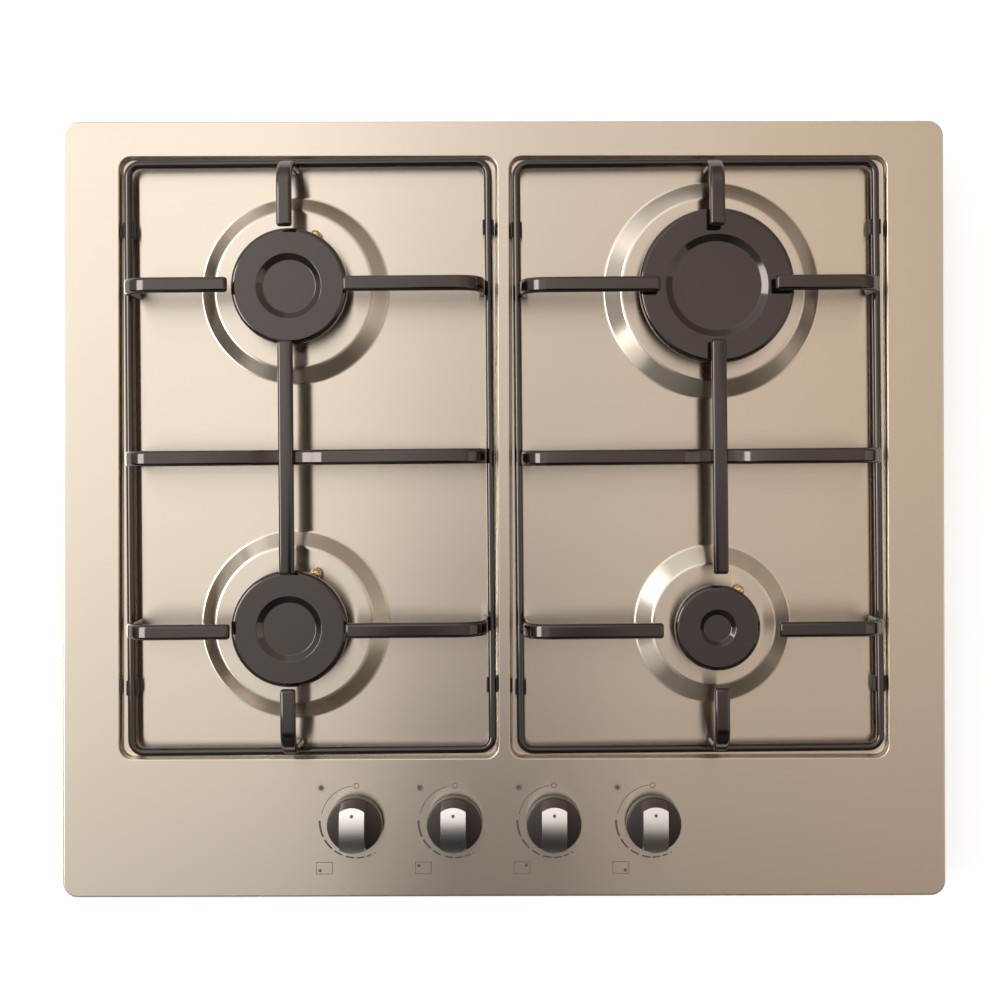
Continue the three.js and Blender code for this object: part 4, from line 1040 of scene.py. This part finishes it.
def shaft(name, x, radius, flat, bottom, top):
    """A D-shaped shaft: a cylinder cut flat on its rear side."""
    rod = add(bpy.ops.mesh.primitive_cylinder_add, name, vertices=32, radius=radius * MM,
              depth=(top - bottom) * MM, location=(x * MM, KNOB_Y * MM, (top + bottom) / 2 * MM))
    edit_all()
    bpy.ops.mesh.bisect(plane_co=(0, (KNOB_Y + flat) * MM, 0), plane_no=(0, 1, 0),
                        use_fill=True, clear_outer=True)
    bpy.ops.object.mode_set(mode="OBJECT")
    return rod


first_x = KNOB_XS[0]
base_pattern = turned("base_pattern", first_x, KNOB_Y, eased([
    (16.4, KNOB_BOTTOM), (KNOB_RADIUS, KNOB_BOTTOM, 0.5), (KNOB_RADIUS, KNOB_SHOULDER - 0.8, 0.9),
    (9, KNOB_SHOULDER + 0.4), (7, KNOB_SHOULDER + 0.4)], steps=4))
core = grip_block("core", first_x, GRIP_WALL + 0.3, KNOB_SHOULDER - 1)
modifier(base_pattern, "BOOLEAN", object=core, operation="UNION", solver="EXACT")
bore = shaft("bore", first_x, radius=3.3, flat=2.1, bottom=50, top=69.3)
modifier(base_pattern, "BOOLEAN", object=bore, operation="DIFFERENCE", solver="EXACT")
smooth(base_pattern)
grip_pattern = grip_block("grip_pattern", first_x, 0, KNOB_SHOULDER + 0.3)
modifier(grip_pattern, "BEVEL", width=0.6 * MM, segments=3, limit_method="ANGLE",
         angle_limit=math.radians(40))
hollow = grip_block("hollow", first_x, GRIP_WALL, KNOB_SHOULDER - 1)
modifier(grip_pattern, "BOOLEAN", object=hollow, operation="DIFFERENCE", solver="EXACT")
smooth(grip_pattern)
DOT_OFFSET = 9.5
dot_rise = math.sqrt(ARCH_RADIUS ** 2 - DOT_OFFSET ** 2) - ARCH_RADIUS
dot_y, dot_z = KNOB_Y + DOT_OFFSET, GRIP_TOP + dot_rise
dot_pattern = turned("dot_pattern", first_x, dot_y, [
    (1.15, dot_z - 0.3), (1.15, dot_z - 0.02), (0.9, dot_z + 0.03)], sides=32)
only(dot_pattern)
bpy.ops.transform.rotate(value=math.asin(DOT_OFFSET / ARCH_RADIUS), orient_axis="X",
                         center_override=(first_x * MM, dot_y * MM, dot_z * MM))
bpy.ops.object.transform_apply(location=True, rotation=True, scale=True)
print("dot", round(-dot_rise, 2), "mm below the top of the grip's arch")
for tool in (core, bore, hollow):
    bpy.data.objects.remove(tool)

for name, b in BURNERS.items():
    move = b["knob"] - first_x
    parts = {"base": (base_pattern, knob_plastic, "knob_plastic", f"knob_{name}"),
             "grip": (grip_pattern, grip_metal, "grip_metal", f"knob_grip_{name}"),
             "dot": (dot_pattern, print_ink, "knob_plastic", None)}
    for part, (source_piece, material, slot, node) in parts.items():
        piece = copied(source_piece, f"knob_{part}_{name}_look", move)
        coat(piece, material)
        if part == "grip":
            piece.data.materials.append(knob_plastic)
            for face in piece.data.polygons:
                face.material_index = int(abs(face.normal.y) > 0.75)
        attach(piece, f"knob_{name}")
        if node:
            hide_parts(node)
for pattern in (base_pattern, grip_pattern, dot_pattern):
    bpy.data.objects.remove(pattern)

# %% [markdown]
# ## Printed marks
# Round each knob the plate is printed with a scale in dark ink: an open ring for off, a thin arc, dashes that
# grow thinner from full to low, a small spark, and a rectangle whose dot shows which burner the knob feeds.
# Marks this fine would blur in a texture, so they are modelled as a film a few hundredths thick.

# %% Helpers for flat marks
INK_BOTTOM, INK_TOP = RIM_TOP - 0.01, RIM_TOP + 0.03
SCALE_RADIUS, ARC_RADIUS = 24, 23.2


def arc_mark(x, radius, width, start, end):
    """A flat strip along an arc, in degrees counted from the right, counter-clockwise."""
    first = math.radians(start)
    strip = add(bpy.ops.mesh.primitive_plane_add, "mark", size=1)
    edit_all()
    sliver = 0.05
    bpy.ops.transform.resize(value=(width * MM, sliver * MM, 1), center_override=(0, 0, 0))
    bpy.ops.transform.translate(value=((x + radius) * MM, KNOB_Y * MM, INK_TOP * MM))
    bpy.ops.object.mode_set(mode="OBJECT")
    # The strip is made at the right of its circle and turned to its start, then spun along the arc.
    bpy.ops.transform.rotate(value=-first, orient_axis="Z", center_override=(x * MM, KNOB_Y * MM, 0))
    bpy.ops.object.transform_apply(location=True, rotation=True, scale=True)
    bpy.ops.object.mode_set(mode="EDIT")
    lead = Vector((-math.sin(first), math.cos(first)))
    at = Vector((x + radius * math.cos(first), KNOB_Y + radius * math.sin(first)))
    select(strip, lambda middle, edge: (middle.xy - at).dot(lead) > sliver * 0.4, "edges")
    bent((x, KNOB_Y, INK_TOP), (0, 0, 1), end - start, steps=max(2, round((end - start) / 3)))
    bpy.ops.object.mode_set(mode="OBJECT")
    return strip


def ring_mark(x, y, outer, inner):
    """A flat ring."""
    ring = add(bpy.ops.mesh.primitive_circle_add, "mark", vertices=48, radius=outer * MM,
               location=(x * MM, y * MM, INK_TOP * MM))
    edit_all()
    walk([(outer, INK_TOP), (inner, INK_TOP)], (x * MM, y * MM, 0))
    bpy.ops.object.mode_set(mode="OBJECT")
    return ring


def disc_mark(x, y, radius, sides=24):
    """A flat disc."""
    return add(bpy.ops.mesh.primitive_circle_add, "mark", vertices=sides, radius=radius * MM,
               fill_type="NGON", location=(x * MM, y * MM, INK_TOP * MM))


def star_mark(x, y, outer, inner):
    """A star whose inner corners are drawn in from a circle of sixteen points."""
    points = 16
    star = disc_mark(x, y, outer, sides=points)
    bpy.ops.object.mode_set(mode="EDIT")
    centre = Vector((x, y))

    def between(middle, corner):
        """Whether a corner is every second one round the star."""
        arm = middle.xy - centre
        return round(math.degrees(math.atan2(arm.x, arm.y)) / (360 / points)) % 2 == 1

    select(star, between, "verts")
    bpy.ops.transform.resize(value=(inner / outer, inner / outer, 1), center_override=(x * MM, y * MM, 0))
    bpy.ops.object.mode_set(mode="OBJECT")
    return star


def frame_mark(x, y, width, height, line):
    """A flat rectangle that is only a line."""
    outline = add(bpy.ops.mesh.primitive_plane_add, "mark", size=1, location=(x * MM, y * MM, INK_TOP * MM))
    edit_all()
    bpy.ops.transform.resize(value=(width * MM, height * MM, 1), center_override=(x * MM, y * MM, 0))
    bpy.ops.mesh.inset(thickness=line * MM)
    bpy.ops.mesh.delete(type="FACE")
    bpy.ops.object.mode_set(mode="OBJECT")
    return outline


# %% [markdown]
# The four scales are alike but for the dot in the rectangle. The marks of one scale are joined, and a
# Solidify modifier gives them the thickness of the ink.

# %% Print the four scales
DASHES = ((179, 205, 1.3), (210, 228, 1.2), (233.5, 247.5, 1.05), (253, 266.5, 0.95),
          (270, 282.5, 0.85), (286, 294.5, 0.75), (299, 301.5, 0.65))
ICON_X, ICON_Y, ICON_WIDTH, ICON_HEIGHT = -20.9, -30.7, 10.8, 8
ICON_DOT_X, ICON_DOT_Y = 2.9, 1.7
STAR_X, STAR_Y = -23, 21.8
# The corner of the rectangle that each knob's dot is in, as signs of across and up.
CORNERS = ((-1, -1), (-1, 1), (1, 1), (1, -1))
for number, (x, (right, up)) in enumerate(zip(KNOB_XS, CORNERS), 1):
    marks = [ring_mark(x, KNOB_Y + ARC_RADIUS, outer=1.85, inner=1.4),
             arc_mark(x, ARC_RADIUS, width=0.4, start=97, end=169)]
    marks += [arc_mark(x, SCALE_RADIUS, width, start, end) for start, end, width in DASHES]
    marks.append(star_mark(x + STAR_X, KNOB_Y + STAR_Y, outer=3.3, inner=1.15))
    icon_x, icon_y = x + ICON_X, KNOB_Y + ICON_Y
    marks.append(frame_mark(icon_x, icon_y, ICON_WIDTH, ICON_HEIGHT, line=0.35))
    marks.append(disc_mark(icon_x + right * ICON_DOT_X, icon_y + up * ICON_DOT_Y, radius=1.05))
    scale_print = welded(f"scale_print_{number}", *marks)
    only(scale_print)
    edit_all()
    bpy.ops.mesh.remove_doubles(threshold=0.01 * MM)
    bpy.ops.mesh.normals_make_consistent(inside=False)
    bpy.ops.object.mode_set(mode="OBJECT")
    modifier(scale_print, "SOLIDIFY", thickness=(INK_TOP - INK_BOTTOM) * MM, offset=0)
    coat(scale_print, print_ink)
    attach(scale_print, "root")
    print(scale_print.name, len(scale_print.data.polygons), "faces")

# %% [markdown]
# ## Finishes for the parts under the plate
# The tray, the seal, the clamps and the gas parts keep the solids' shapes and only get their finishes: zinc
# with its spangle on the pressed steel, cast metal, brass, foam and plastic.

# %% Give the carried-over solids their finishes
CARRIED = {"bottom_tray": galvanised, "worktop_seal": seal_foam, "clamp": galvanised, "gas_rail": gas_tube,
           "inlet_elbow": brass, "spark_module": module_plastic, "burner_cup": cast_aluminium,
           "injector": brass, "feed_pipe": gas_tube, "tap_body": tap_alloy, "tap_stem": stem_steel}
for name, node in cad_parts.items():
    for start, material in CARRIED.items():
        if name.startswith(start):
            coat(node, material)
